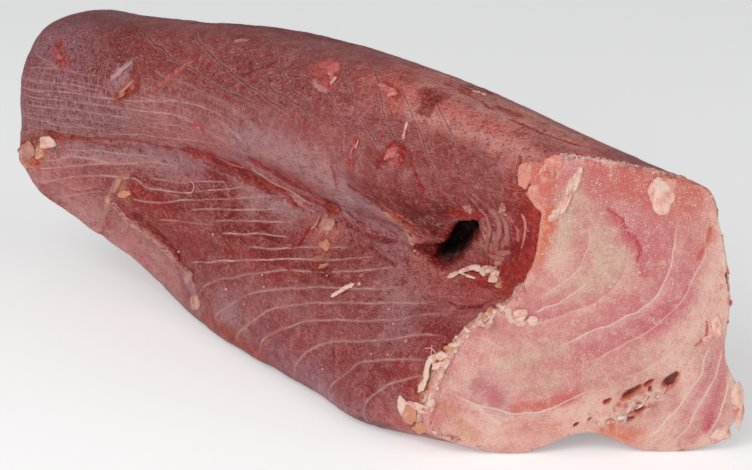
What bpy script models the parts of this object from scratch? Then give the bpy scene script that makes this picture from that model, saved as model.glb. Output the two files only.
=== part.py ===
"""Frozen tuna loin: one solid block of fish, sawn off obliquely at its thick end.

The loin lies along X on a flat sole. Its sawn face looks towards +X and -Y, its narrower
end towards -X, and the side that lay against the backbone towards -Y. That side has a
long groove, where the dark strip of muscle was trimmed away, and a hollow near the sawn
face. The origin is the middle of the bounding box, at the height of the sole.

The skin of the solid is one loft. Eighteen lines run the length of the loin, each through
six stations, and every section is a closed smooth curve through them. Booleans then cut
the sole flat, open the hollow and part the flakes in the sawn face.
"""

import math

import bmesh
import bpy
import numpy as np
from mathutils import Matrix, Vector

MM = 0.001

# ---------------------------------------------------------------- driving sizes
FAR_END_X = -222 * MM           # plane of the narrow end
SAWN_X_AT_MIDDLE = 171.6 * MM   # where the sawn plane crosses the line Y = 0
SAWN_SLANT = 0.905              # the sawn plane's advance in X for each unit of Y

FAR_END_ROUNDING = 20 * MM      # length over which the narrow end's rim is rounded off
FAR_END_TUCK = 15 * MM          # how far the rim is drawn in at the end plane
SECTION_MIDDLE_Y = -15 * MM     # the rim is drawn in towards this point
SECTION_MIDDLE_Z = 95 * MM

RISE_START_X = -104 * MM        # from here to the narrow end the underside leaves the board
RISE_SLOPE = 0.53               # rise for each unit of length
RISE_BLEND = 10 * MM            # height over which the slope sets in

FAR_END_CROWN = 4 * MM          # how far each end swells in its middle
SAWN_FACE_CROWN = 2.5 * MM

POINTS_PER_GAP = 4              # points between neighbouring long lines, round a section
SECTIONS = 40
END_BUNCHING = 0.07             # how much closer together the sections stand at both ends
CAP_RINGS = 5

# Stations along the loin: 0 is the narrow end and 1 is the sawn face.
STATIONS = (0.0, 0.2, 0.45, 0.72, 0.88, 1.0)

# The long lines, in the order they are met going up the backbone side, over the crest and
# down the skin side: the distance across (Y) and the height (Z) at each station, in mm.
# A height under 0 is below the board, where the flat sole is cut.
LONG_LINES = {
    "foot": ((-45, -29, -43, -55, -62, -53), (0, 3, 3, 3, 3, 8)),
    "flap": ((-53, -37, -47, -61, -69, -64), (20, 22, 14, 16, 15, 19)),
    "lower_face": ((-61, -43, -44, -52, -58, -58), (50, 44, 42, 44, 46, 50)),
    "lower_lip": ((-71, -49, -37, -37, -39, -46), (72, 68, 68, 70, 70, 72)),
    "groove": ((-73, -42, -26, -19, -19, -33), (84, 88, 90, 90, 88, 84)),
    "upper_lip": ((-72, -44, -31, -25, -21, -25), (98, 101, 103, 104, 104, 103)),
    "upper_face": ((-70, -53, -43, -33, -25, -22), (118, 124, 126, 128, 128, 126)),
    "brow": ((-63, -50, -39, -28, -22, -20), (140, 149, 152, 153, 151, 150)),
    "crest": ((-43, -33, -19, -11, -10, -13), (156, 166, 173, 174, 168, 162)),
    "back_crest": ((-3, 3, 19, 25, 25, 35), (154, 162, 171, 165, 157, 147)),
    "shoulder": ((25, 39, 55, 55, 51, 44), (130, 134, 141, 136, 130, 124)),
    "back": ((37, 53, 67, 65, 59, 49), (84, 88, 88, 86, 86, 86)),
    "hip": ((33, 49, 61, 61, 57, 48), (40, 40, 36, 36, 38, 54)),
    "lobe": ((25, 39, 51, 55, 57, 55), (14, 12, 12, 14, 18, 27)),
    "heel": ((17, 27, 39, 43, 44, 44), (0, 0, 0, 0, 0, 4)),
    "keel": ((7, 17, 27, 27, 25, 21), (-2, -2, -2, -2, -2, 1)),
    "notch": ((-5, -1, 1, 1, -1, -3), (-2, -2, -2, 0, 6, 12)),
    "sole": ((-25, -17, -25, -33, -37, -28), (0, -2, -2, -2, -2, 1)),
}

# The hollow by the sawn face: a deep hole, and the shallow tail that runs from it along
# the groove. Each is a middle and half lengths along X, Y and Z, in mm.
HOLLOW = {
    "hollow_hole": ((97, -18, 100), (12, 26, 13)),
    "hollow_tail": ((73, -20, 90), (18, 9, 6)),
}

# Gaps between flakes in the sawn face: (Y, Z, half length, half width) in mm, and the
# turn of the long side from level, in degrees. Each runs straight in from the face.
FLAKE_GAPS = (
    (29, 39.5, 4.6, 2.4, 50),
    (14.5, 33, 6.0, 2.2, 35),
    (5, 30, 3.4, 1.6, 25),
)
FLAKE_GAP_DEPTH = 9

BOARD_SIZE = (0.8, 0.5, 0.02)

FLESH_COLOUR = (0.50, 0.22, 0.22, 1.0)
FLESH_ROUGHNESS = 0.42


# ---------------------------------------------------------------- the loft
def along(values, t):
    """A smooth run through one value for each station. Between two stations it is a cubic,
    and its slope at a station is a mean of the chords on both sides."""
    gaps = [b - a for a, b in zip(STATIONS, STATIONS[1:])]
    chords = [(b - a) / gap for a, b, gap in zip(values, values[1:], gaps)]
    slopes = [chords[0]]
    for k in range(1, len(chords)):
        weighted = gaps[k] * chords[k - 1] + gaps[k - 1] * chords[k]
        slopes.append(weighted / (gaps[k] + gaps[k - 1]))
    slopes.append(chords[-1])
    k = min(int(np.searchsorted(STATIONS, t, side="right")) - 1, len(gaps) - 1)
    f = (t - STATIONS[k]) / gaps[k]
    return ((1 + 2 * f) * (1 - f) ** 2 * values[k]
            + f * (1 - f) ** 2 * gaps[k] * slopes[k]
            + f * f * (3 - 2 * f) * values[k + 1]
            + f * f * (f - 1) * gaps[k] * slopes[k + 1])


def closed_curve(corners):
    """Points on the closed Catmull-Rom curve through the corners."""
    count = len(corners)
    points = []
    for i in range(count):
        p0, p1, p2, p3 = (corners[(i + k) % count] for k in (-1, 0, 1, 2))
        for j in range(POINTS_PER_GAP):
            f = j / POINTS_PER_GAP
            points.append(0.5 * (2 * p1 + (p2 - p0) * f
                                 + (2 * p0 - 5 * p1 + 4 * p2 - p3) * f ** 2
                                 + (3 * p1 - p0 - 3 * p2 + p3) * f ** 3))
    return points


def raise_underside(x, z):
    """Lift a point that is under the sloping underside of the narrow end. A short parabola
    joins the slope to the board."""
    above = RISE_SLOPE * (RISE_START_X - x)
    if above > RISE_BLEND:
        return max(z, above)
    if above > -RISE_BLEND:
        return max(z, (above + RISE_BLEND) ** 2 / (4 * RISE_BLEND))
    return z


def end_tuck(x):
    """How far the rim is drawn in near the narrow end: a quarter ellipse along X."""
    t = max(0.0, 1 - (x - FAR_END_X) / FAR_END_ROUNDING)
    return FAR_END_TUCK * (1 - math.sqrt(max(0.0, 1 - t * t)))


def sawn_x(y):
    """Where the sawn plane is at a distance across the loin."""
    return SAWN_X_AT_MIDDLE + SAWN_SLANT * y


def section(t):
    """The closed ring of points at station t. Rings are upright at the narrow end and turn
    little by little into the slanted sawn plane."""
    corners = [np.array((along(ys, t), along(zs, t))) * MM for ys, zs in LONG_LINES.values()]
    middle = np.array((SECTION_MIDDLE_Y, SECTION_MIDDLE_Z))
    ring = []
    for point in closed_curve(corners):
        x = FAR_END_X + t * (sawn_x(point[0]) - FAR_END_X)
        spoke = point - middle
        y, z = middle + spoke * (1 - end_tuck(x) / np.linalg.norm(spoke))
        ring.append(Vector((x, y, raise_underside(x, z))))
    return ring


def bridge(bm, ring, following):
    """Join two rings of the same length with four-sided faces."""
    for i, vert in enumerate(ring):
        j = (i + 1) % len(ring)
        bm.faces.new((vert, ring[j], following[j], following[i]))


def cap(bm, rim, outward, crown):
    """Close an end with rings drawn in towards the rim's middle, raised like a lens."""
    middle = sum((vert.co for vert in rim), Vector()) / len(rim)
    outer = rim
    for k in range(1, CAP_RINGS):
        inward = k / CAP_RINGS
        lift = outward * crown * (1 - (1 - inward) ** 2)
        inner = [bm.verts.new(vert.co.lerp(middle, inward) + lift) for vert in rim]
        bridge(bm, outer, inner)
        outer = inner
    tip = bm.verts.new(middle + outward * crown)
    for i, vert in enumerate(outer):
        bm.faces.new((vert, outer[(i + 1) % len(outer)], tip))


def sawn_normal():
    """The way the sawn face looks."""
    return Vector((1, -SAWN_SLANT, 0)).normalized()


def loft_skin(bm):
    """The whole skin: sections bridged along the length, and a cap at each end."""
    rings = []
    for k in range(SECTIONS):
        even = k / (SECTIONS - 1)
        t = even - END_BUNCHING * math.sin(2 * math.pi * even)
        rings.append([bm.verts.new(co) for co in section(t)])
    for ring, following in zip(rings, rings[1:]):
        bridge(bm, ring, following)
    cap(bm, rings[0], Vector((-1, 0, 0)), FAR_END_CROWN)
    cap(bm, rings[-1], sawn_normal(), SAWN_FACE_CROWN)
    bmesh.ops.recalc_face_normals(bm, faces=bm.faces)


# ---------------------------------------------------------------- the cutters
def board(bm):
    """The board that the loin lies on, with its top at height 0."""
    bmesh.ops.create_cube(bm, size=1)
    for vert in bm.verts:
        vert.co.z -= 0.5
        vert.co = Vector(a * b for a, b in zip(vert.co, BOARD_SIZE))


def egg(bm, middle, half_lengths, axes=Matrix.Identity(3)):
    """A ball stretched along three axes, which are the matrix's columns. All in mm."""
    bmesh.ops.create_icosphere(bm, subdivisions=2, radius=1)
    for vert in bm.verts:
        stretched = Vector(a * b for a, b in zip(vert.co, half_lengths))
        vert.co = (axes @ stretched + Vector(middle)) * MM


def flake_gap(bm, y, z, half_length, half_width, turn):
    """A flat egg that lies across the sawn face and reaches straight in from it."""
    outward = sawn_normal()
    up = Vector((0, 0, 1))
    angle = math.radians(turn)
    long_way = up.cross(outward) * math.cos(angle) + up * math.sin(angle)
    axes = Matrix((long_way, outward.cross(long_way), outward)).transposed()
    middle = (sawn_x(y * MM) / MM, y, z)
    egg(bm, middle, (half_length, half_width, FLAKE_GAP_DEPTH), axes)


# ---------------------------------------------------------------- objects
def add_object(name, build, *sizes):
    """An object whose mesh is drawn by the function build."""
    bm = bmesh.new()
    build(bm, *sizes)
    mesh = bpy.data.meshes.new(name)
    bm.to_mesh(mesh)
    bm.free()
    obj = bpy.data.objects.new(name, mesh)
    bpy.context.scene.collection.objects.link(obj)
    return obj


def cut_out(body, cutter):
    """Take the cutter's space out of the body with a live Boolean."""
    cutter.hide_render = True
    cutter.display_type = "WIRE"
    modifier = body.modifiers.new(cutter.name, "BOOLEAN")
    modifier.operation = "DIFFERENCE"
    modifier.solver = "EXACT"
    modifier.object = cutter


def centre_on_loin(loin, cutters):
    """Bring the middle of the loin's box over the origin, with the cutters in step."""
    corners = np.array([vert.co for vert in loin.data.vertices])
    middle = (corners.min(axis=0) + corners.max(axis=0)) / 2
    to_origin = Matrix.Translation((-middle[0], -middle[1], 0))
    for obj in (loin, *cutters):
        obj.data.transform(to_origin)


def flesh():
    """The loin's plain finish: pink-red, slightly glossy frozen flesh."""
    material = bpy.data.materials.new("flesh")
    material.use_nodes = True
    shader = material.node_tree.nodes["Principled BSDF"]
    shader.inputs["Base Color"].default_value = FLESH_COLOUR
    shader.inputs["Roughness"].default_value = FLESH_ROUGHNESS
    shader.inputs["Metallic"].default_value = 0.0
    return material


def main():
    for obj in list(bpy.data.objects):
        bpy.data.objects.remove(obj)
    loin = add_object("loin", loft_skin)
    cutters = [add_object("board", board)]
    for name, (middle, half_lengths) in HOLLOW.items():
        cutters.append(add_object(name, egg, middle, half_lengths))
    for k, gap in enumerate(FLAKE_GAPS):
        cutters.append(add_object(f"flake_gap_{k}", flake_gap, *gap))
    centre_on_loin(loin, cutters)
    for cutter in cutters:
        cut_out(loin, cutter)
    loin.data.materials.append(flesh())
    loin.data.shade_smooth()


main()
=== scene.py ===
# %% [markdown]
# # A frozen tuna loin
# The loin is one block of raw fish, cut from beside the backbone and sawn off at a slant
# while frozen. This lesson gives it its looks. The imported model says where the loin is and
# how large, so it is loaded first, and every piece made here is placed by it. All the
# shapes are worked out in millimetres with numpy, and only the finished meshes are metres.

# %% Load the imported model
import itertools
import math

import bpy
import numpy as np
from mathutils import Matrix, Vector


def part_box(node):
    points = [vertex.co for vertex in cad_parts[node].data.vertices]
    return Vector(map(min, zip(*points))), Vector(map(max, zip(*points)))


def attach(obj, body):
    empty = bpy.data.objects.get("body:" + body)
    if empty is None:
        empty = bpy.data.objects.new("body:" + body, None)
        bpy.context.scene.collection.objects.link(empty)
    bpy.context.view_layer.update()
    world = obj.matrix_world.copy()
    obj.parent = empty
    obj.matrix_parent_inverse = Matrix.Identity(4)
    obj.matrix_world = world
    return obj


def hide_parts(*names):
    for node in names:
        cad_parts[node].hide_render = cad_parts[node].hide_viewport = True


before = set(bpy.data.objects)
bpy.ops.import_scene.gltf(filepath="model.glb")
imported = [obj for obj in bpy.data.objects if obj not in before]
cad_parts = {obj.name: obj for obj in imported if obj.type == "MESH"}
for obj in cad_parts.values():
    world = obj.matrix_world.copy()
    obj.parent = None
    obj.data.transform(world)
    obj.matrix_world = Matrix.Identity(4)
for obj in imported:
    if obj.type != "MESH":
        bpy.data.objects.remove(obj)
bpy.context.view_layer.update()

MM = 0.001

# %% [markdown]
# ## Small helpers
# Flesh has no straight edges and no even colour. Two helpers give that: an eased step,
# which turns one thing slowly into another, and a smooth noise, which is the same on every
# run because its random numbers are seeded. Colours are named as they look on a display,
# from 0 to 255, and turned into linear light only when they go into a mesh.

# %% Eased steps, noise and colours
# random values along each side of the noise's lattice; lowest height of any point in mm
LATTICE = 64
LOWEST = 0.05


def eased(low, high, x):
    """0 up to low and 1 from high, with the cubic 3f^2 - 2f^3 between them."""
    f = np.clip((x - low) / (high - low), 0, 1)
    return f * f * (3 - 2 * f)


def bell(x, width):
    """1 where x is 0, falling off as exp(-(x / width)^2)."""
    return np.exp(-((x / width) ** 2))


def soft_max(a, b, width):
    """The larger of two heights, with the corner between them rounded over a width."""
    return 0.5 * (a + b + np.sqrt((a - b) ** 2 + width ** 2))


def noise(points, size, seed):
    """Smooth noise from -1 to 1. Random values stand on a lattice with cells of this size
    in mm, and a point blends the eight corners of its cell with eased weights."""
    lattice = np.random.default_rng(seed).uniform(-1, 1, (LATTICE, LATTICE, LATTICE))
    scaled = points / np.asarray(size, float)
    cell = np.floor(scaled).astype(int)
    f = scaled - cell
    f = f * f * (3 - 2 * f)
    value = np.zeros(points.shape[:-1])
    for corner in itertools.product((0, 1), repeat=3):
        weight = np.ones(points.shape[:-1])
        for axis, side in enumerate(corner):
            weight = weight * (f[..., axis] if side else 1 - f[..., axis])
        i, j, k = ((cell[..., axis] + side) % LATTICE for axis, side in enumerate(corner))
        value += weight * lattice[i, j, k]
    return value


def layered(points, size, seed, octaves=3):
    """Noise added to noise of half the size and half the height, some octaves deep."""
    total = 0
    for octave in range(octaves):
        total = total + noise(points, np.asarray(size, float) / 2 ** octave, seed + octave) / 2 ** octave
    return total


COLOURS = {
    # the trimmed sides
    "flesh": (165, 86, 86),
    "plum": (152, 86, 98),
    "lilac": (176, 132, 138),
    "membrane": (178, 126, 124),
    "bloom": (216, 160, 152),
    "pale_flesh": (206, 148, 144),
    "brown_red": (144, 60, 54),
    "rust": (168, 62, 42),
    "dark_red": (126, 24, 22),
    "blood": (166, 28, 22),
    "deep_red": (84, 5, 4),
    "rosy": (192, 84, 88),
    "salmon": (208, 108, 96),
    "fold": (182, 118, 104),
    # painted shade at the bottom of the hollow
    "hole_shade": (3, 1, 1),
    # painted shade on the underside, where the skin faces the floor
    "underside": (96, 40, 50),
    "silver": (178, 150, 156),
    # fat, threads and frost
    "orange": (216, 98, 60),
    "amber": (206, 138, 98),
    "cream": (236, 200, 182),
    "white": (238, 222, 212),
    "seam": (222, 174, 166),
    "seam_shade": (98, 28, 26),
    "crumple": (164, 88, 82),
    "chunk": (222, 138, 120),
    # the sawn face
    "cut_pink": (214, 142, 136),
    "cut_cream": (240, 196, 180),
    "cut_green": (214, 178, 156),
    "cut_rose": (204, 108, 112),
    "magenta": (192, 36, 60),
    "cut_salmon": (208, 98, 84),
}
COLOURS = {name: np.array(value) / 255 for name, value in COLOURS.items()}


def linear(display):
    """Display values turned into linear light, by the sRGB curve."""
    return np.where(display <= 0.04045, display / 12.92, ((display + 0.055) / 1.055) ** 2.4)


def lay_over(under, *coats):
    """Paint laid over paint. Each coat is a colour's name and an amount from 0 to 1, by
    which all the colours under it move towards the named one."""
    for name, amount in coats:
        under = under + (COLOURS[name] - under) * np.clip(amount, 0, 1)[..., None]
    return under


def lay_torn(torn, strength, name, amount):
    """A torn mark laid over the torn marks before it, in a layer that also keeps how strong
    it is at each point: the new colour's share is its amount in the strength of both."""
    both = amount + strength * (1 - amount)
    share = amount / np.maximum(both, 1e-4)
    return torn + (COLOURS[name] - torn) * share[..., None], both


print(len(COLOURS), "colours are mixed")

# %% [markdown]
# ## The shape of the block
# The block is a loft: eighteen lines run its length, each through six stations, and every
# section is a closed smooth curve through them. These are the sizes that the solid was
# built from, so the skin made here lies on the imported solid, only much finer. A sculpted
# mesh would do as well, but a function of two numbers can be worked out at any fineness.

# %% Driving sizes of the block
FAR_END_X = -222
SAWN_X_AT_MIDDLE = 171.6
SAWN_SLANT = 0.905
FAR_END_ROUNDING = 20
FAR_END_TUCK = 15
SECTION_MIDDLE = np.array((-15, 95))
RISE_START_X = -104
RISE_SLOPE = 0.53
RISE_BLEND = 10
FAR_END_CROWN = 4
SAWN_FACE_CROWN = 2.5
IN_PLANE = math.hypot(1, SAWN_SLANT)

STATIONS = np.array((0.0, 0.2, 0.45, 0.72, 0.88, 1.0))
LONG_LINES = {
    "foot": ((-45, -29, -43, -55, -62, -53), (0, 3, 3, 3, 3, 8)),
    "flap": ((-53, -37, -47, -61, -69, -64), (20, 22, 14, 16, 15, 19)),
    "lower_face": ((-61, -43, -44, -52, -58, -58), (50, 44, 42, 44, 46, 50)),
    "lower_lip": ((-71, -49, -37, -37, -39, -46), (72, 68, 68, 70, 70, 72)),
    "groove": ((-73, -42, -26, -19, -19, -33), (84, 88, 90, 90, 88, 84)),
    "upper_lip": ((-72, -44, -31, -25, -21, -25), (98, 101, 103, 104, 104, 103)),
    "upper_face": ((-70, -53, -43, -33, -25, -22), (118, 124, 126, 128, 128, 126)),
    "brow": ((-63, -50, -39, -28, -22, -20), (140, 149, 152, 153, 151, 150)),
    "crest": ((-43, -33, -19, -11, -10, -13), (156, 166, 173, 174, 168, 162)),
    "back_crest": ((-3, 3, 19, 25, 25, 35), (154, 162, 171, 165, 157, 147)),
    "shoulder": ((25, 39, 55, 55, 51, 44), (130, 134, 141, 136, 130, 124)),
    "back": ((37, 53, 67, 65, 59, 49), (84, 88, 88, 86, 86, 86)),
    "hip": ((33, 49, 61, 61, 57, 48), (40, 40, 36, 36, 38, 54)),
    "lobe": ((25, 39, 51, 55, 57, 55), (14, 12, 12, 14, 18, 27)),
    "heel": ((17, 27, 39, 43, 44, 44), (0, 0, 0, 0, 0, 4)),
    "keel": ((7, 17, 27, 27, 25, 21), (-2, -2, -2, -2, -2, 1)),
    "notch": ((-5, -1, 1, 1, -1, -3), (-2, -2, -2, 0, 6, 12)),
    "sole": ((-25, -17, -25, -33, -37, -28), (0, -2, -2, -2, -2, 1)),
}
LINE_NUMBER = {name: number for number, name in enumerate(LONG_LINES)}
LINE_COUNT = len(LONG_LINES)
print(LINE_COUNT, "long lines through", len(STATIONS), "stations")

# %% The loft as a function of two numbers
def along(values, t):
    """Smooth runs through one value for each station: cubic pieces whose slope at a
    station is the mean of the chords on both sides, weighted by the gaps."""
    values = np.asarray(values, float)
    gaps = np.diff(STATIONS)
    chords = np.diff(values, axis=1) / gaps
    slopes = np.concatenate((chords[:, :1], chords[:, :1].repeat(len(gaps) - 1, 1), chords[:, -1:]), 1)
    slopes[:, 1:-1] = (gaps[1:] * chords[:, :-1] + gaps[:-1] * chords[:, 1:]) / (gaps[1:] + gaps[:-1])
    k = np.clip(np.searchsorted(STATIONS, t, side="right") - 1, 0, len(gaps) - 1)
    f = (t - STATIONS[k]) / gaps[k]
    return ((1 + 2 * f) * (1 - f) ** 2 * values[:, k]
            + f * (1 - f) ** 2 * gaps[k] * slopes[:, k]
            + f * f * (3 - 2 * f) * values[:, k + 1]
            + f * f * (f - 1) * gaps[k] * slopes[:, k + 1])


def round_weights(u):
    """How much each long line counts at place u round a section: Catmull-Rom weights."""
    k = np.floor(u).astype(int)
    f = u - k
    four = (-f + 2 * f**2 - f**3, 2 - 5 * f**2 + 3 * f**3, f + 4 * f**2 - 3 * f**3, f**3 - f**2)
    weights = np.zeros((len(u), LINE_COUNT))
    for step, weight in zip((-1, 0, 1, 2), four):
        weights[np.arange(len(u)), (k + step) % LINE_COUNT] += weight / 2
    return weights


def raise_underside(x, z):
    """Near the narrow end the underside leaves the board: a parabola, then a slope."""
    above = RISE_SLOPE * (RISE_START_X - x)
    blend = (above + RISE_BLEND) ** 2 / (4 * RISE_BLEND)
    floor = np.where(above > RISE_BLEND, above, np.where(above > -RISE_BLEND, blend, -40))
    return soft_max(z, floor, 2.5)


def loft(t, u):
    """Skin points in mm, a row for each t and a column for each u. Rows are upright at the
    narrow end and turn into the slanted sawn plane, and the narrow end's rim is drawn in
    over a quarter ellipse."""
    y_lines, z_lines = (along([line[i] for line in LONG_LINES.values()], t) for i in (0, 1))
    weights = round_weights(u)
    y = (weights @ y_lines).T
    z = (weights @ z_lines).T
    x = FAR_END_X + t[:, None] * (SAWN_X_AT_MIDDLE + SAWN_SLANT * y - FAR_END_X)
    near = np.clip(1 - (x - FAR_END_X) / FAR_END_ROUNDING, 0, 1)
    tuck = FAR_END_TUCK * (1 - np.sqrt(1 - near ** 2))
    shrink = 1 - tuck / np.hypot(y - SECTION_MIDDLE[0], z - SECTION_MIDDLE[1])
    y = SECTION_MIDDLE[0] + (y - SECTION_MIDDLE[0]) * shrink
    z = SECTION_MIDDLE[1] + (z - SECTION_MIDDLE[1]) * shrink
    z = soft_max(raise_underside(x, z), 0, 1)
    return np.stack((x, y, z), -1)


trial = loft(np.linspace(0, 1, 90), np.linspace(0, LINE_COUNT, 180, endpoint=False))
trial_low = trial.min((0, 1)) - (FAR_END_CROWN, 0, 0)
trial_high = trial.max((0, 1))
box_low, box_high = (np.array(corner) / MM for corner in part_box("loin"))
SHIFT = np.array([((box_low + box_high) / 2 - (trial_low + trial_high) / 2)[i] for i in (0, 1)] + [0])


def sawn_x(across):
    """Where the sawn plane stands along the loin, at a distance across it."""
    return SAWN_X_AT_MIDDLE + SAWN_SLANT * (across - SHIFT[1]) + SHIFT[0]


print("the packed solid stands", SHIFT.round(2), "mm from the loft's own origin")

# %% [markdown]
# ## The grid of the skin
# The side that shows needs the finest mesh, about a millimetre from point to point. The
# underside and the back need less. So the columns stand at even steps of length, but with
# the lengths on the plain sides counted less.

# %% Rows and columns of the skin
SIDE_ROWS = 334
CAP_ROWS = 13
COLUMNS = 286
CREST = LINE_NUMBER["back_crest"] + 0.4
BACK_COUNTS = 0.17
MEASURED_AT = 0.55
ROW_CROWDING = 0.035
CAP_CROWDING = 1.2
CAP_INNERMOST = 0.97


def skin_columns():
    """Places round the section, from even steps along a measure that counts the backbone
    side whole and the other sides at about a sixth."""
    fine = np.linspace(0, LINE_COUNT, 1801)
    middle = loft(np.array((MEASURED_AT,)), fine[:-1] % LINE_COUNT)[0]
    ring = np.concatenate((middle, middle[:1]))
    steps = np.linalg.norm(np.diff(ring, axis=0), axis=1)
    place = (fine[:-1] + fine[1:]) / 2
    shown = eased(-0.2, 0.3, place) * (1 - eased(CREST, CREST + 0.8, place))
    shown = np.maximum(shown, eased(LINE_COUNT - 0.6, LINE_COUNT - 0.1, place))
    counted = np.concatenate(((0,), np.cumsum(steps * (BACK_COUNTS + (1 - BACK_COUNTS) * shown))))
    even = np.linspace(0, counted[-1], COLUMNS, endpoint=False)
    return np.interp(even, counted, fine)


u_columns = skin_columns()
even_rows = np.linspace(0, 1, SIDE_ROWS)
t_rows = even_rows - ROW_CROWDING * np.sin(2 * math.pi * even_rows)
side = loft(t_rows, u_columns) + SHIFT

inward = np.linspace(1, 0, CAP_ROWS + 1)[:-1, None, None] ** CAP_CROWDING * CAP_INNERMOST
cap_middle = side[0].mean(0)
cap = side[0] + (cap_middle - side[0]) * inward
cap[..., 0] -= FAR_END_CROWN * (1 - (1 - inward[..., 0]) ** 2)
skin = np.concatenate((cap, side))
u = np.broadcast_to(u_columns, skin.shape[:2])
on_cap = np.zeros(skin.shape[:2])
on_cap[:CAP_ROWS] = 1
by_the_saw = np.zeros(skin.shape[:2])
by_the_saw[CAP_ROWS:] = eased(0.978, 0.998, t_rows)[:, None]


def outward(points):
    """The way a grid's surface looks: the cross product of its two tangents."""
    down = np.gradient(points, axis=0)
    round_it = (np.roll(points, -1, 1) - np.roll(points, 1, 1)) / 2
    normal = np.cross(round_it, down)
    return normal / np.maximum(np.linalg.norm(normal, axis=-1, keepdims=True), 1e-9)


normal = outward(skin)
middle_row = skin[len(skin) // 2]
if np.mean(normal[len(skin) // 2] * (middle_row - middle_row.mean(0))) < 0:
    normal = -normal
x, y, z = np.moveaxis(skin, -1, 0)
print("the skin has", skin.shape[0] * skin.shape[1], "points")

# %% [markdown]
# ## Where a mark goes
# A stain, a gouge or a ridge is given by the route its middle takes. On the backbone side
# a place is its distance along the loin and its height, and on the top it is the distance
# along and the distance across. The route is smoothed, put on the skin, and each point of
# the skin is asked how far it is from the route. One answer serves colour and shape alike,
# so that a dark gouge is also a deep one.

# %% Routes and distances on the skin
# limits in long lines round the section, so 8 is the crest and 9 the back crest
BACKBONE_SIDE = (u < 8.7) & (on_cap == 0)
SEAMED_SIDE = (u < 8.2) & (on_cap == 0)
TOP = (u > 7.4) & (u < 12) & (on_cap == 0)
# a distance in mm that counts as far, and how near a route has to be to the skin
FAR_OFF = 30.0
OFF_THE_SKIN = math.sqrt(2)


def smooth_run(points, step=2.5):
    """Points at even steps on a Catmull-Rom curve through a few points."""
    points = np.asarray(points, float)
    if len(points) == 1:
        return points
    ends = np.concatenate((2 * points[:1] - points[1:2], points, 2 * points[-1:] - points[-2:-1]))
    found = [points[:1]]
    for p0, p1, p2, p3 in zip(ends, ends[1:], ends[2:], ends[3:]):
        count = max(2, int(np.linalg.norm(p2 - p1) / step))
        f = (np.arange(1, count + 1) / count)[:, None]
        found.append(0.5 * (2 * p1 + (p2 - p0) * f + (2 * p0 - 5 * p1 + 4 * p2 - p3) * f**2
                            + (3 * p1 - p0 - 3 * p2 + p3) * f**3))
    return np.concatenate(found)


def traced(route):
    """A smooth run along a route that is written as one list, two numbers a point."""
    return smooth_run(np.reshape(route, (-1, 2)))


def set_measures(points, flat, axes):
    """Points with two of their three measures replaced."""
    points = points.copy()
    points[:, axes] = flat
    return points


def on_skin(route, where=BACKBONE_SIDE, axes=(0, 2)):
    """Puts a flat route on the skin: each point takes its third measure from the nearest
    skin point. Where the route leaves the skin, as over the crest, it keeps to that point."""
    route = np.asarray(route, float)
    candidates = skin[where]
    gap = ((candidates[None, :, axes] - route[:, None, :]) ** 2).sum(-1)
    placed = candidates[gap.argmin(1)].copy()
    off = gap.min(1) > OFF_THE_SKIN ** 2
    placed[~off] = set_measures(placed[~off], route[~off], axes)
    return placed


def on_top(route):
    """Puts a route of distances along and across on the top of the loin."""
    return on_skin(route, TOP, (0, 1))


def reach(points, normals, run, limit):
    """For each point: its distance to the run, the same with a sign for the side it is on,
    and how far along the run it is, from 0 to 1. Points further off than the limit get it."""
    near = np.full(points.shape[:-1], float(limit))
    signed = near.copy()
    place = np.zeros(points.shape[:-1])
    if len(run) == 1:
        run = np.concatenate((run, run + (0.01, 0, 0)))
    inside = np.all((points > run.min(0) - limit) & (points < run.max(0) + limit), axis=-1)
    p, n = points[inside], normals[inside]
    best, best_signed, best_place = near[inside], signed[inside], place[inside]
    for i, (a, b) in enumerate(zip(run, run[1:])):
        line = b - a
        f = np.clip((p - a) @ line / (line @ line), 0, 1)
        off = p - (a + f[:, None] * line)
        d = np.linalg.norm(off, axis=1)
        closer = d < best
        best[closer] = d[closer]
        side_sign = np.sign((np.cross(n[closer], line) * off[closer]).sum(1))
        best_signed[closer] = d[closer] * np.where(side_sign == 0, 1, side_sign)
        best_place[closer] = (i + f[closer]) / (len(run) - 1)
    near[inside], signed[inside], place[inside] = best, best_signed, best_place
    return near, signed, place


ragged = layered(skin, 9, 11, 4)
frayed = layered(skin, 3, 21, 2)


def brush_reach(half_width):
    """How far from its middle a brush can still mark, where noise moves its edge furthest."""
    return half_width * 2.6 + 4


def brush(run, half_width, softness=0.5, fray=0.35):
    """How strongly a brush drawn along a run marks each skin point: 1 in its middle, 0 past
    its edge, which noise moves in and out by a share of the half width."""
    d = reach(skin, normal, run, brush_reach(half_width))[0]
    d = d + half_width * fray * ragged + min(0.8, 0.5 * half_width) * fray * frayed
    return 1 - eased(half_width * (1 - softness), half_width * (1 + softness), d)


print("a mark's edge wanders by up to", round(float(np.abs(ragged).max()), 2), "of its fray")
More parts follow.
